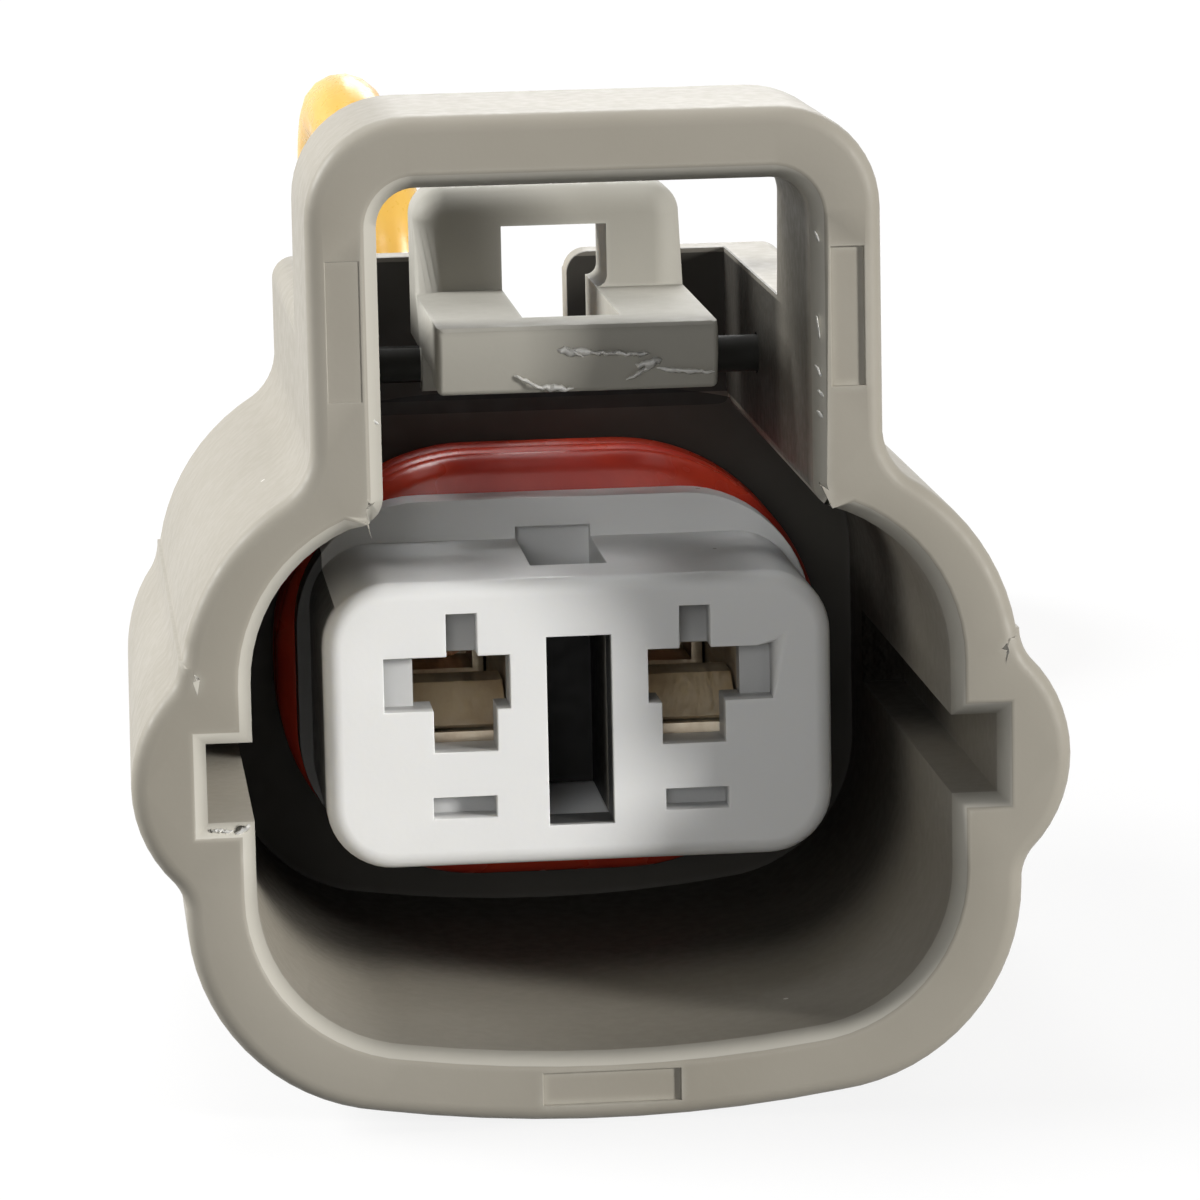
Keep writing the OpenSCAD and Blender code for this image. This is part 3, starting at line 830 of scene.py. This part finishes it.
@dataclass
class MouldedCopy:
    """A moulded piece with the frame node's form and its edges rounded."""

    node: str
    piece_name: str
    roundings: Sequence[Rounding]
    refilled_plane: float | None = None
    flat_angle: float = math.radians(0.5)
    sharp_angle: float = math.radians(30.0)
    fill_slack: float = 0.0005

    def mesh(self) -> BMesh:
        """Copies the node's mesh, merges its loose triangles and rounds its edges.

        Returns:
            The new mesh.
        """
        bm = bmesh.new()
        bm.from_mesh(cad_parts[self.node].data)
        bmesh.ops.remove_doubles(bm, verts=bm.verts, dist=MERGED * MM)
        bmesh.ops.dissolve_degenerate(bm, edges=bm.edges, dist=MERGED * MM)
        bmesh.ops.dissolve_limit(
            bm,
            angle_limit=self.flat_angle,
            use_dissolve_boundaries=False,
            verts=bm.verts,
            edges=bm.edges,
        )
        mark = bm.faces.layers.float.new(LEAD_IN)
        for rounding in self.roundings:
            pairs = [e for e in bm.edges if len(e.link_faces) == 2]
            sharp = [e for e in pairs if e.calc_face_angle(0.0) > self.sharp_angle]
            made = bmesh.ops.bevel(
                bm,
                geom=[e for e in sharp if rounding.test(e)],
                affect="EDGES",
                offset=rounding.radius,
                offset_type="OFFSET",
                segments=rounding.segments,
                profile=0.5,
                material=-1,
                clamp_overlap=rounding.clamp,
                loop_slide=False,
            )
            for face in made["faces"]:
                face[mark] = float(rounding.band)
        if self.refilled_plane is not None:
            self._refill(bm)
        return bm

    def _refill(self, bm: BMesh) -> None:
        """Fills the flat face with holes in the refilled plane anew, with even triangles.

        Args:
            bm: The mesh.
        """
        plane = self.refilled_plane
        flat = [f for f in bm.faces if all(lies_at_depth(e, plane, MERGED) for e in f.edges)]
        inside = list(dict.fromkeys(e for f in flat for e in f.edges))
        bmesh.ops.delete(bm, geom=flat, context="FACES_ONLY")
        loose = [e for e in inside if not e.link_faces]
        rims = [e for e in inside if e.link_faces]
        bmesh.ops.delete(bm, geom=loose, context="EDGES_FACES")
        verts = list(dict.fromkeys(v for e in rims for v in e.verts))
        number = {v: i for i, v in enumerate(verts)}
        places = [Vector((v.co.x, v.co.z)) / MM for v in verts]
        pairs = [(number[e.verts[0]], number[e.verts[1]]) for e in rims]
        outline = [(places[i], places[j]) for i, j in pairs]
        found, _, triangles, sources, _, _ = geometry.delaunay_2d_cdt(
            places, pairs, [], 0, self.fill_slack, True
        )
        corners = [
            verts[ids[0]] if ids else bm.verts.new((c.x * MM, plane * MM, c.y * MM))
            for c, ids in zip(found, sources)
        ]
        for triangle in triangles:
            centre = sum((found[i] for i in triangle), Vector((0.0, 0.0))) / 3
            if self._encloses(outline, centre):
                bm.faces.new([corners[i] for i in triangle])

    @staticmethod
    def _encloses(outline: Sequence[tuple[Vector, Vector]], point: Vector) -> bool:
        """Whether a point is inside an outline with holes.

        Args:
            outline: The ends of each of its edges.
            point: The point.

        Returns:
            Whether an odd number of edges lie to the right of the point.
        """
        crossed = 0
        for a, b in outline:
            if (a.y > point.y) != (b.y > point.y):
                crossed += point.x < a.x + (point.y - a.y) * (b.x - a.x) / (b.y - a.y)
        return crossed % 2 == 1


def middle(edge: Edge) -> Vector:
    """The middle point of an edge, in millimetres."""
    return (edge.verts[0].co + edge.verts[1].co) / (2 * MM)


def lies_at_depth(edge: Edge, y: float, slack: float = 0.02) -> bool:
    """Whether both ends of an edge lie in the plane at y, in millimetres."""
    return all(abs(v.co.y / MM - y) < slack for v in edge.verts)


@dataclass
class Housing:
    """The grey moulding: hood, arch, neck, tower and wire entry."""

    rim_y: float = -13.75
    arch_back: float = -8.2
    hood_back: float = 2.25
    entry_back: float = 13.75
    centre_z: float = 7.4
    window_half: float = 4.4
    mouth_top: float = 12.8
    foot_radius: float = 0.42 * MM
    outer_radius: float = 0.35 * MM
    band_width: float = 0.3 * MM
    band_edge: float = 0.05 * MM
    pad_radius: float = 0.02 * MM
    back_radius: float = 0.25 * MM
    entry_radius: float = 0.3 * MM
    foot_slack: Pair = (0.1, 0.45)
    leg_pad_x: Pair = (4.7, 5.55)
    leg_pad_z: Pair = (15.0, 18.2)
    belly_pad_half: float = 1.5
    belly_pad_z: Pair = (0.3, 1.12)
    rib_start: float = 8.65
    rib_taper: float = 0.28
    hood_depth: float = 16.0

    def _foot(self, edge: Edge) -> bool:
        """Whether an edge is a corner where the arch window meets the mouth."""
        m = middle(edge)
        along_y = abs(edge.verts[0].co.y - edge.verts[1].co.y) > MM
        off_x = abs(abs(m.x) - self.window_half)
        off_z = abs(m.z - self.mouth_top)
        at_foot = off_x < self.foot_slack[0] and off_z < self.foot_slack[1]
        return along_y and at_foot and edge.is_convex

    def _pad(self, edge: Edge) -> bool:
        """Whether an edge in the rim's plane belongs to a shallow witness pad."""
        m = middle(edge)
        on_leg = self.leg_pad_x[0] < abs(m.x) < self.leg_pad_x[1]
        on_leg &= self.leg_pad_z[0] < m.z < self.leg_pad_z[1]
        on_belly = abs(m.x) < self.belly_pad_half and self.belly_pad_z[0] < m.z < self.belly_pad_z[1]
        return lies_at_depth(edge, self.rim_y) and (on_leg or on_belly)

    def _outward(self, edge: Edge) -> float:
        """How far the wall beside an edge of a flat end looks away from the plug's middle."""
        wall = max(edge.link_faces, key=lambda f: abs(f.normal.x) + abs(f.normal.z))
        m = middle(edge)
        return wall.normal.x * m.x + wall.normal.z * (m.z - self.centre_z)

    def _rim(self, outside: bool) -> EdgeTest:
        """The test for the rim's outer or inner edges."""
        return lambda e: (
            lies_at_depth(e, self.rim_y)
            and not self._pad(e)
            and (self._outward(e) > 0) == outside
        )

    def _end(self, y: float, outside: bool = True) -> EdgeTest:
        """The test for the convex outer or inner edges of the flat end at y."""
        return lambda e: (
            e.is_convex and lies_at_depth(e, y) and (self._outward(e) > 0) == outside
        )

    def _narrow_ribs(self, bm: BMesh) -> None:
        """Draws the side ribs in towards the back, as the mould's draft does."""
        for vert in bm.verts:
            excess = abs(vert.co.x) / MM - self.rib_start
            if excess > 0:
                depth = vert.co.y / MM - self.rim_y
                kept = 1 - self.rib_taper * depth / self.hood_depth
                vert.co.x = math.copysign((self.rib_start + excess * kept) * MM, vert.co.x)

    def build(self, palette: Palette) -> Piece:
        """Makes the housing.

        Args:
            palette: The finishes.

        Returns:
            The housing's piece.
        """
        copy = MouldedCopy(
            "housing",
            "housing_moulding",
            [
                Rounding(self.foot_radius, self._foot, 4),
                Rounding(self.pad_radius, self._pad, 1, clamp=True),
                Rounding(self.outer_radius, self._rim(True), 6),
                Rounding(self.band_width, self._rim(False), 1, band=True),
                Rounding(self.band_edge, self._rim(False), 2),
                Rounding(self.back_radius, self._end(self.hood_back)),
                Rounding(self.back_radius, self._end(self.arch_back)),
                Rounding(self.back_radius, self._end(self.arch_back, outside=False)),
                Rounding(self.entry_radius, self._end(self.entry_back)),
            ],
            refilled_plane=self.rim_y,
        )
        bm = copy.mesh()
        self._narrow_ribs(bm)
        piece = new_piece(copy.piece_name, bm, palette.housing)
        flatten_normals(piece)
        return settle(piece, Body.PLUG, Slot.HOUSING, "housing")


@dataclass
class LatchLever:
    """The lever: front bar, arms and thumb bow."""

    half: float = 2.95
    top: float = 16.1
    bow_top: float = 18.35
    bow_corner: float = 0.7
    bar_back: float = -8.2
    bow_radius: float = 0.62 * MM
    bar_radius: float = 0.12 * MM

    def _bow(self, edge: Edge) -> bool:
        """Whether an edge is on the outline of the thumb bow, seen from the front."""
        m = middle(edge)
        flat = abs(edge.verts[0].co.y - edge.verts[1].co.y) < 0.01 * MM
        margin = self.bow_corner / 2
        outside = abs(m.x) > self.half - margin or m.z > self.bow_top - margin
        return flat and m.z > self.top + 0.1 and outside and edge.is_convex

    def _bar(self, edge: Edge) -> bool:
        """Whether an edge is a convex one of the front bar."""
        return edge.is_convex and max(v.co.y for v in edge.verts) < self.bar_back * MM

    def build(self, palette: Palette) -> Piece:
        """Makes the lever.

        Args:
            palette: The finishes.

        Returns:
            The lever's piece.
        """
        copy = MouldedCopy(
            "latch_lever",
            "lever_moulding",
            [Rounding(self.bow_radius, self._bow, 5), Rounding(self.bar_radius, self._bar, 3)],
        )
        piece = new_piece(copy.piece_name, copy.mesh(), palette.lever)
        flatten_normals(piece)
        return settle(piece, Body.LEVER, Slot.HOUSING, "latch_lever")


@dataclass(frozen=True)
class Tear:
    """A torn thread or flap of flash: two ends in X and Z, a depth, a width and a curl."""

    start: Pair
    end: Pair
    depth: float
    width: float
    curl: float = 0.1
    points: int = 18


@dataclass
class Flash:
    """Torn flash and crumbs that the mould's parting line left, as one thin piece."""

    name: str
    tears: Sequence[Tear]
    body: Body
    rim_y: float = -13.75
    thickness: float = 0.03
    across: int = 4
    taper: float = 0.4
    least_width: float = 0.45
    least_lift: float = 0.5
    wander: float = 0.15
    curl_turn: float = 0.75 * math.pi

    def build(self, palette: Palette) -> Piece:
        """Makes the flash.

        Args:
            palette: The finishes.

        Returns:
            The flash's piece.
        """
        draw = random.Random(self.name)
        bm = bmesh.new()
        for tear in self.tears:
            self._tear(bm, tear, draw)
        piece = new_piece(self.name, bm, palette.flash)
        solid = piece.modifiers.new("thickness", "SOLIDIFY")
        solid.thickness = self.thickness * MM
        solid.offset = 0.0
        return settle(piece, self.body, Slot.HOUSING)

    def _tear(self, bm: BMesh, tear: Tear, draw: random.Random) -> None:
        """Adds one ragged strip that stands out and curls."""
        rows = []
        for i in range(tear.points + 1):
            t = i / tear.points
            x = tear.start[0] + (tear.end[0] - tear.start[0]) * t
            z = tear.start[1] + (tear.end[1] - tear.start[1]) * t
            swell = math.sin(math.pi * t) ** self.taper
            width = tear.width * swell * draw.uniform(self.least_width, 1.0)
            lift = tear.curl * swell * draw.uniform(self.least_lift, 1.0)
            z += draw.uniform(-self.wander, self.wander) * tear.width
            row = []
            for j in range(self.across + 1):
                s = j / self.across
                y = self.rim_y + tear.depth - lift * math.sin(self.curl_turn * s)
                row.append(bm.verts.new((x * MM, y * MM, (z + width * (s - 0.5)) * MM)))
            rows.append(row)
        for a, b in zip(rows, rows[1:]):
            for j in range(self.across):
                bm.faces.new((a[j], a[j + 1], b[j + 1], b[j]))


LEVER_TEARS = (
    Tear((0.2, 15.52), (1.5, 15.43), 4.0, 0.14, 0.22),
    Tear((-0.45, 15.56), (0.3, 15.5), 4.02, 0.2, 0.16, 9),
    Tear((-0.3, 15.66), (0.1, 15.42), 4.02, 0.07, 0.2, 7),
    Tear((1.2, 15.2), (1.75, 15.3), 4.03, 0.24, 0.2, 9),
    Tear((1.0, 14.9), (1.6, 15.2), 4.1, 0.1, 0.14, 8),
    Tear((-1.35, 15.06), (-0.75, 14.76), 4.1, 0.12, 0.12, 10),
    Tear((-0.85, 14.8), (-0.11, 14.72), 4.16, 0.16, 0.14, 9),
    Tear((1.64, 15.12), (2.86, 15.0), 4.06, 0.12, 0.08),
)
RIM_TEARS = (
    Tear((4.5, 16.6), (4.56, 16.14), 0.16, 0.12, 0.1, 8),
    Tear((4.46, 15.6), (4.6, 15.34), 0.18, 0.13, 0.1, 7),
    Tear((4.5, 15.1), (4.66, 14.92), 0.14, 0.1, 0.08, 6),
    Tear((4.48, 18.34), (4.58, 18.12), 0.16, 0.09, 0.08, 6),
    Tear((4.48, 14.66), (4.64, 14.5), 0.16, 0.1, 0.08, 6),
    Tear((-7.06, 3.42), (-6.98, 3.2), 0.22, 0.09, 0.07, 8),
    Tear((-6.68, 2.74), (-6.5, 2.56), 0.22, 0.08, 0.07, 8),
    Tear((-6.1, 2.24), (-5.9, 2.14), 0.2, 0.07, 0.06, 8),
    Tear((-8.1, 6.46), (-7.66, 6.42), 0.16, 0.12, 0.12, 10),
    Tear((-7.62, 6.34), (-7.3, 6.52), 0.14, 0.16, 0.12, 8),
    Tear((-4.62, 14.8), (-4.46, 14.7), 0.2, 0.08, 0.06, 6),
)


@dataclass
class FrontRetainer:
    """The white cap over the tower, with its two slots."""

    face_y: float = -8.4
    slots_half: Pair = (4.0, 3.0)
    centre_z: float = 7.4
    face_radius: float = 0.38 * MM
    slot_radius: float = 0.07 * MM

    def _face_outline(self, edge: Edge) -> bool:
        """Whether an edge is on the outline of the face."""
        m = middle(edge)
        beside = abs(m.x) > self.slots_half[0] or abs(m.z - self.centre_z) > self.slots_half[1]
        return lies_at_depth(edge, self.face_y) and beside

    def build(self, palette: Palette) -> Piece:
        """Makes the retainer.

        Args:
            palette: The finishes.

        Returns:
            The retainer's piece.
        """
        copy = MouldedCopy(
            "front_retainer",
            "retainer_cap",
            [
                Rounding(self.face_radius, self._face_outline, 5),
                Rounding(self.slot_radius, lambda e: e.is_convex, 2, clamp=True),
            ],
        )
        piece = new_piece(copy.piece_name, copy.mesh(), palette.retainer)
        flatten_normals(piece)
        return settle(piece, Body.RETAINER, Slot.RETAINER, "front_retainer")


@dataclass
class RingSeal:
    """The ribbed silicone ring round the tower."""

    half_x: float = 4.7
    half_z: float = 3.35
    corner: float = 3.05
    centre_z: float = 7.4
    start_y: float = -1.75
    end_y: float = 1.03
    inner_gap: float = 0.02
    base: float = 1.0
    rib: float = 0.45
    ribs: int = 3
    rib_steps: int = 12
    rib_fullness: float = 0.7
    corner_steps: int = 20

    def profile(self) -> list[Pair]:
        """The ring's section.

        Returns:
            Pairs of distance from the tower and place along Y, in millimetres.
        """
        step = (self.end_y - self.start_y) / self.ribs
        points = [(self.inner_gap, self.start_y)]
        for i in range(self.ribs * self.rib_steps + 1):
            t = i / self.rib_steps
            wave = math.sin(math.pi * (t % 1.0)) if i % self.rib_steps else 0.0
            out = self.base + self.rib * wave**self.rib_fullness
            points.append((out, self.start_y + t * step))
        points.append((self.inner_gap, self.end_y))
        return points

    def build(self, palette: Palette) -> Piece:
        """Makes the seal.

        Args:
            palette: The finishes.

        Returns:
            The seal's piece.
        """
        bm = bmesh.new()
        top = self.centre_z + self.half_z
        section = [bm.verts.new((0.0, y * MM, (top + out) * MM)) for out, y in self.profile()]
        front = [bm.edges.new((a, b)) for a, b in zip(section, section[1:] + section[:1])]
        straight_x = self.half_x - self.corner
        straight_z = self.half_z - self.corner
        legs = [
            ((straight_x, 0), (straight_x, straight_z)),
            ((0, -2 * straight_z), (straight_x, -straight_z)),
            ((-2 * straight_x, 0), (-straight_x, -straight_z)),
            ((0, 2 * straight_z), (-straight_x, straight_z)),
        ]
        for (dx, dz), (cx, cz) in legs:
            front = self._slide(bm, front, dx, dz)
            front = self._turn(bm, front, cx, cz)
        self._slide(bm, front, straight_x, 0)
        bmesh.ops.remove_doubles(bm, verts=bm.verts, dist=0.001 * MM)
        piece = new_piece("seal_ring", bm, palette.seal)
        return settle(piece, Body.PLUG, Slot.SEAL, "ring_seal")

    @staticmethod
    def _slide(bm: BMesh, edges: list, dx: float, dz: float) -> list:
        """Extrudes the section straight on, and returns its new edges."""
        made = bmesh.ops.extrude_edge_only(bm, edges=edges)["geom"]
        verts = [g for g in made if isinstance(g, bmesh.types.BMVert)]
        bmesh.ops.translate(bm, verts=verts, vec=(dx * MM, 0, dz * MM))
        return [g for g in made if isinstance(g, bmesh.types.BMEdge)]

    def _turn(self, bm: BMesh, edges: list, cx: float, cz: float) -> list:
        """Spins the section a quarter turn round a corner, and returns its new edges."""
        spun = bmesh.ops.spin(
            bm,
            geom=edges,
            cent=(cx * MM, 0, (self.centre_z + cz) * MM),
            axis=(0, 1, 0),
            angle=math.pi / 2,
            steps=self.corner_steps,
            use_merge=False,
            use_duplicate=False,
        )["geom_last"]
        return [g for g in spun if isinstance(g, bmesh.types.BMEdge)]


@dataclass
class Contacts:
    """The two crimped contacts with their conductors and wire seals."""

    radius: float = 0.04 * MM

    def build(self, palette: Palette) -> list[Piece]:
        """Makes the contacts and gives the pieces on them their finishes.

        Args:
            palette: The finishes.

        Returns:
            The two contacts' pieces.
        """
        made = []
        for side in ("left", "right"):
            rounding = Rounding(self.radius, lambda e: e.is_convex, 2, clamp=True)
            copy = MouldedCopy(f"contact_{side}", f"terminal_{side}", [rounding])
            piece = new_piece(copy.piece_name, copy.mesh(), palette.contact)
            flatten_normals(piece)
            made.append(settle(piece, Body.PLUG, Slot.CONTACT, copy.node))
            self._finish(f"conductor_{side}", palette.copper)
            self._finish(f"wire_seal_{side}", palette.wire_seal)
        return made

    @staticmethod
    def _finish(node: str, material: Material) -> None:
        """Gives a node that is kept from the frame its finish."""
        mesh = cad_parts[node].data
        mesh.materials.clear()
        mesh.materials.append(material)
        log.info("%s kept from the frame", node)


# ---- Wires ----


@dataclass(frozen=True)
class Wire:
    """One insulated wire: straight in its seal, a free run, then a flat coil."""

    name: str
    nodes: tuple[str, ...]
    route: tuple[Point, ...]
    turns: float
    slot: Slot
    diameter: float = 2.1
    coil_centre: Pair = (3.9, 40.5)
    coil_radius: float = 10.5
    inner_radius: float = 8.3
    points_per_turn: int = 24
    strand: float = 0.19
    strand_length: float = 0.5
    strand_edge: float = 0.03
    strands_round: int = 6
    step_in: Pair = (0.8, 0.2)

    def coil(self) -> list[Point]:
        """The points of the coil, in millimetres."""
        height = self.route[-1][2]
        made = []
        for i in range(1, int(self.turns * self.points_per_turn) + 1):
            turn = i / self.points_per_turn
            blend = min(max((turn - self.step_in[0]) / self.step_in[1], 0.0), 1.0)
            blend = blend * blend * (3 - 2 * blend)
            r = self.coil_radius + (self.inner_radius - self.coil_radius) * blend
            angle = math.pi - turn * math.tau
            x, y = self.coil_centre
            made.append((x + r * math.cos(angle), y + r * math.sin(angle), height))
        return made

    def path(self) -> list[Vector]:
        """The whole centreline, in metres."""
        return [Vector(p) * MM for p in (*self.route, *self.coil())]

    def cut_end(self, palette: Palette) -> Piece:
        """Makes the copper strands at the cut end of the wire.

        Args:
            palette: The finishes.

        Returns:
            The strands' piece.
        """
        path = self.path()
        tip = path[-1]
        ahead = (path[-1] - path[-2]).normalized()
        turn = ahead.to_track_quat("Z", "Y").to_matrix().to_4x4()
        bm = bmesh.new()
        places = [(0.0, 0.0)]
        for i in range(self.strands_round):
            angle = i * math.tau / self.strands_round
            places.append((math.cos(angle) * 2 * self.strand, math.sin(angle) * 2 * self.strand))
        for x, y in places:
            move = Matrix.Translation(tip) @ turn @ Matrix.Translation((x * MM, y * MM, 0))
            bmesh.ops.create_cone(
                bm,
                cap_ends=True,
                segments=16,
                radius1=self.strand * MM,
                radius2=self.strand * MM,
                depth=self.strand_length * MM,
                matrix=move,
            )
        rims = [e for e in bm.edges if len(e.link_faces) == 2 and e.calc_face_angle(0.0) > 1.0]
        bmesh.ops.bevel(
            bm,
            geom=rims,
            affect="EDGES",
            offset=self.strand_edge * MM,
            offset_type="OFFSET",
            segments=2,
            profile=0.5,
            material=-1,
            clamp_overlap=True,
        )
        piece = new_piece(f"{self.name}_strands", bm, palette.copper)
        return settle(piece, Body.PLUG, Slot.COPPER)

    def build(self, material: Material, held_by: Sequence[Piece]) -> Piece:
        """Makes the wire.

        Args:
            material: Its insulation.
            held_by: The pieces on it: its strands' ends and its tie; not used.

        Returns:
            The wire's curve.
        """
        path = self.path()
        data = bpy.data.curves.new(self.name, "CURVE")
        data.dimensions = "3D"
        data.bevel_depth = self.diameter / 2 * MM
        data.bevel_resolution = 6
        data.resolution_u = 6
        data.use_fill_caps = True
        spline = data.splines.new("BEZIER")
        spline.bezier_points.add(len(path) - 1)
        for point, place in zip(spline.bezier_points, path):
            point.co = place
            point.handle_left_type = point.handle_right_type = "AUTO"
        piece = add_object(self.name, data)
        data.materials.append(material)
        settle(piece, Body.PLUG, self.slot, *self.nodes)
        return piece


@dataclass
class TapeTie:
    """A turn of black tape that holds both coils together."""

    centre: Pair = (3.9, 40.5)
    inner: float = 7.14
    outer: float = 11.66
    low: float = 0.06
    high: float = 4.48
    corner: float = 1.1
    width: float = 6.0
    middle_angle: float = math.radians(45.0)
    thickness: float = 0.09
    corner_steps: int = 8
    sweep_steps: int = 14
    crease_scale: float = 900.0
    crease_height: float = 0.04
    creased: Pair = (0.3, 0.95)

    def _section(self) -> list[tuple[float, float]]:
        """The loop round the bundle: distance from the coils' middle, and height, in millimetres."""
        points = []
        corners = (
            (self.outer - self.corner, self.high - self.corner, 0.0),
            (self.inner + self.corner, self.high - self.corner, 0.25),
            (self.inner + self.corner, self.low + self.corner, 0.5),
            (self.outer - self.corner, self.low + self.corner, 0.75),
        )
        for r, z, start in corners:
            for i in range(self.corner_steps + 1):
                angle = math.tau * (start + 0.25 * i / self.corner_steps)
                points.append((r + self.corner * math.cos(angle), z + self.corner * math.sin(angle)))
        return points

    def build(self, palette: Palette) -> Piece:
        """Makes the tie.

        Args:
            palette: The finishes.

        Returns:
            The tie's piece.
        """
        mean = (self.inner + self.outer) / 2
        sweep = self.width / mean
        first = self.middle_angle - sweep / 2
        x, y = self.centre
        bm = bmesh.new()
        loop = [
            bm.verts.new(((x + r * math.cos(first)) * MM, (y + r * math.sin(first)) * MM, z * MM))
            for r, z in self._section()
        ]
        edges = [bm.edges.new((a, b)) for a, b in zip(loop, loop[1:] + loop[:1])]
        bmesh.ops.spin(
            bm,
            geom=edges,
            cent=(x * MM, y * MM, 0),
            axis=(0, 0, 1),
            angle=sweep,
            steps=self.sweep_steps,
            use_merge=False,
            use_duplicate=False,
        )
        for vert in bm.verts:
            crease = noise.noise(vert.co * self.crease_scale)
            if self.creased[0] < (vert.co.z / MM) / self.high < self.creased[1]:
                vert.co.z += self.crease_height * MM * crease
        piece = new_piece("tape_tie", bm, palette.tape)
        solid = piece.modifiers.new("thickness", "SOLIDIFY")
        solid.thickness = self.thickness * MM
        solid.offset = -1.0
        return settle(piece, Body.PLUG, Slot.BROWN)


STRAIGHT = (4.9, 9.75, 13.75)
LEFT_WIRE = Wire(
    "orange_wire",
    ("wire_left", "wire_coil_left"),
    (
        *((-2.5, y, 7.65) for y in STRAIGHT),
        (-2.5, 15.3, 7.75), (-2.45, 17.2, 8.5), (-2.25, 19.1, 10.4), (-2.0, 19.8, 12.9),
        (-2.2, 20.4, 15.4), (-2.65, 22.1, 17.0), (-2.85, 24.4, 17.6), (-2.9, 26.7, 17.0),
        (-2.9, 28.4, 15.4), (-3.0, 29.0, 13.1), (-3.3, 29.7, 10.5), (-3.9, 31.0, 7.9),
        (-4.8, 33.0, 5.6), (-5.8, 35.8, 4.0), (-6.45, 38.4, 3.4), (-6.6, 40.5, 3.35),
    ),
    1.75,
    Slot.ORANGE,
)
RIGHT_WIRE = Wire(
    "brown_wire",
    ("wire_right", "wire_coil_right"),
    (
        *((2.5, y, 7.65) for y in STRAIGHT),
        (2.5, 15.8, 7.4), (2.4, 17.3, 6.8), (2.3, 18.6, 5.7), (2.1, 20.0, 4.3), (1.7, 21.5, 2.9),
        (1.1, 23.4, 1.6), (0.2, 25.7, 1.1), (-1.0, 28.0, 1.1), (-2.4, 30.3, 1.1),
        (-3.8, 32.6, 1.1), (-5.1, 35.0, 1.1), (-6.1, 37.6, 1.2), (-6.6, 40.5, 1.2),
    ),
    1.75,
    Slot.BROWN,
)


def main() -> None:
    """Builds the studio and every piece of the plug."""
    logging.basicConfig(level=logging.INFO, format="%(name)s: %(message)s")
    Viewpoint().build()
    palette = Palette()
    tie = TapeTie().build(palette)
    LEFT_WIRE.build(palette.orange, (LEFT_WIRE.cut_end(palette), tie))
    RIGHT_WIRE.build(palette.brown, (RIGHT_WIRE.cut_end(palette), tie))
    Studio().build()
    Housing().build(palette)
    Flash("rim_flash", RIM_TEARS, Body.PLUG).build(palette)
    LatchLever().build(palette)
    Flash("lever_flash", LEVER_TEARS, Body.LEVER).build(palette)
    FrontRetainer().build(palette)
    RingSeal().build(palette)
    Contacts().build(palette)
    bpy.context.scene.view_settings.view_transform = "Standard"
    bpy.context.view_layer.update()


if __name__ == "__main__":
    main()
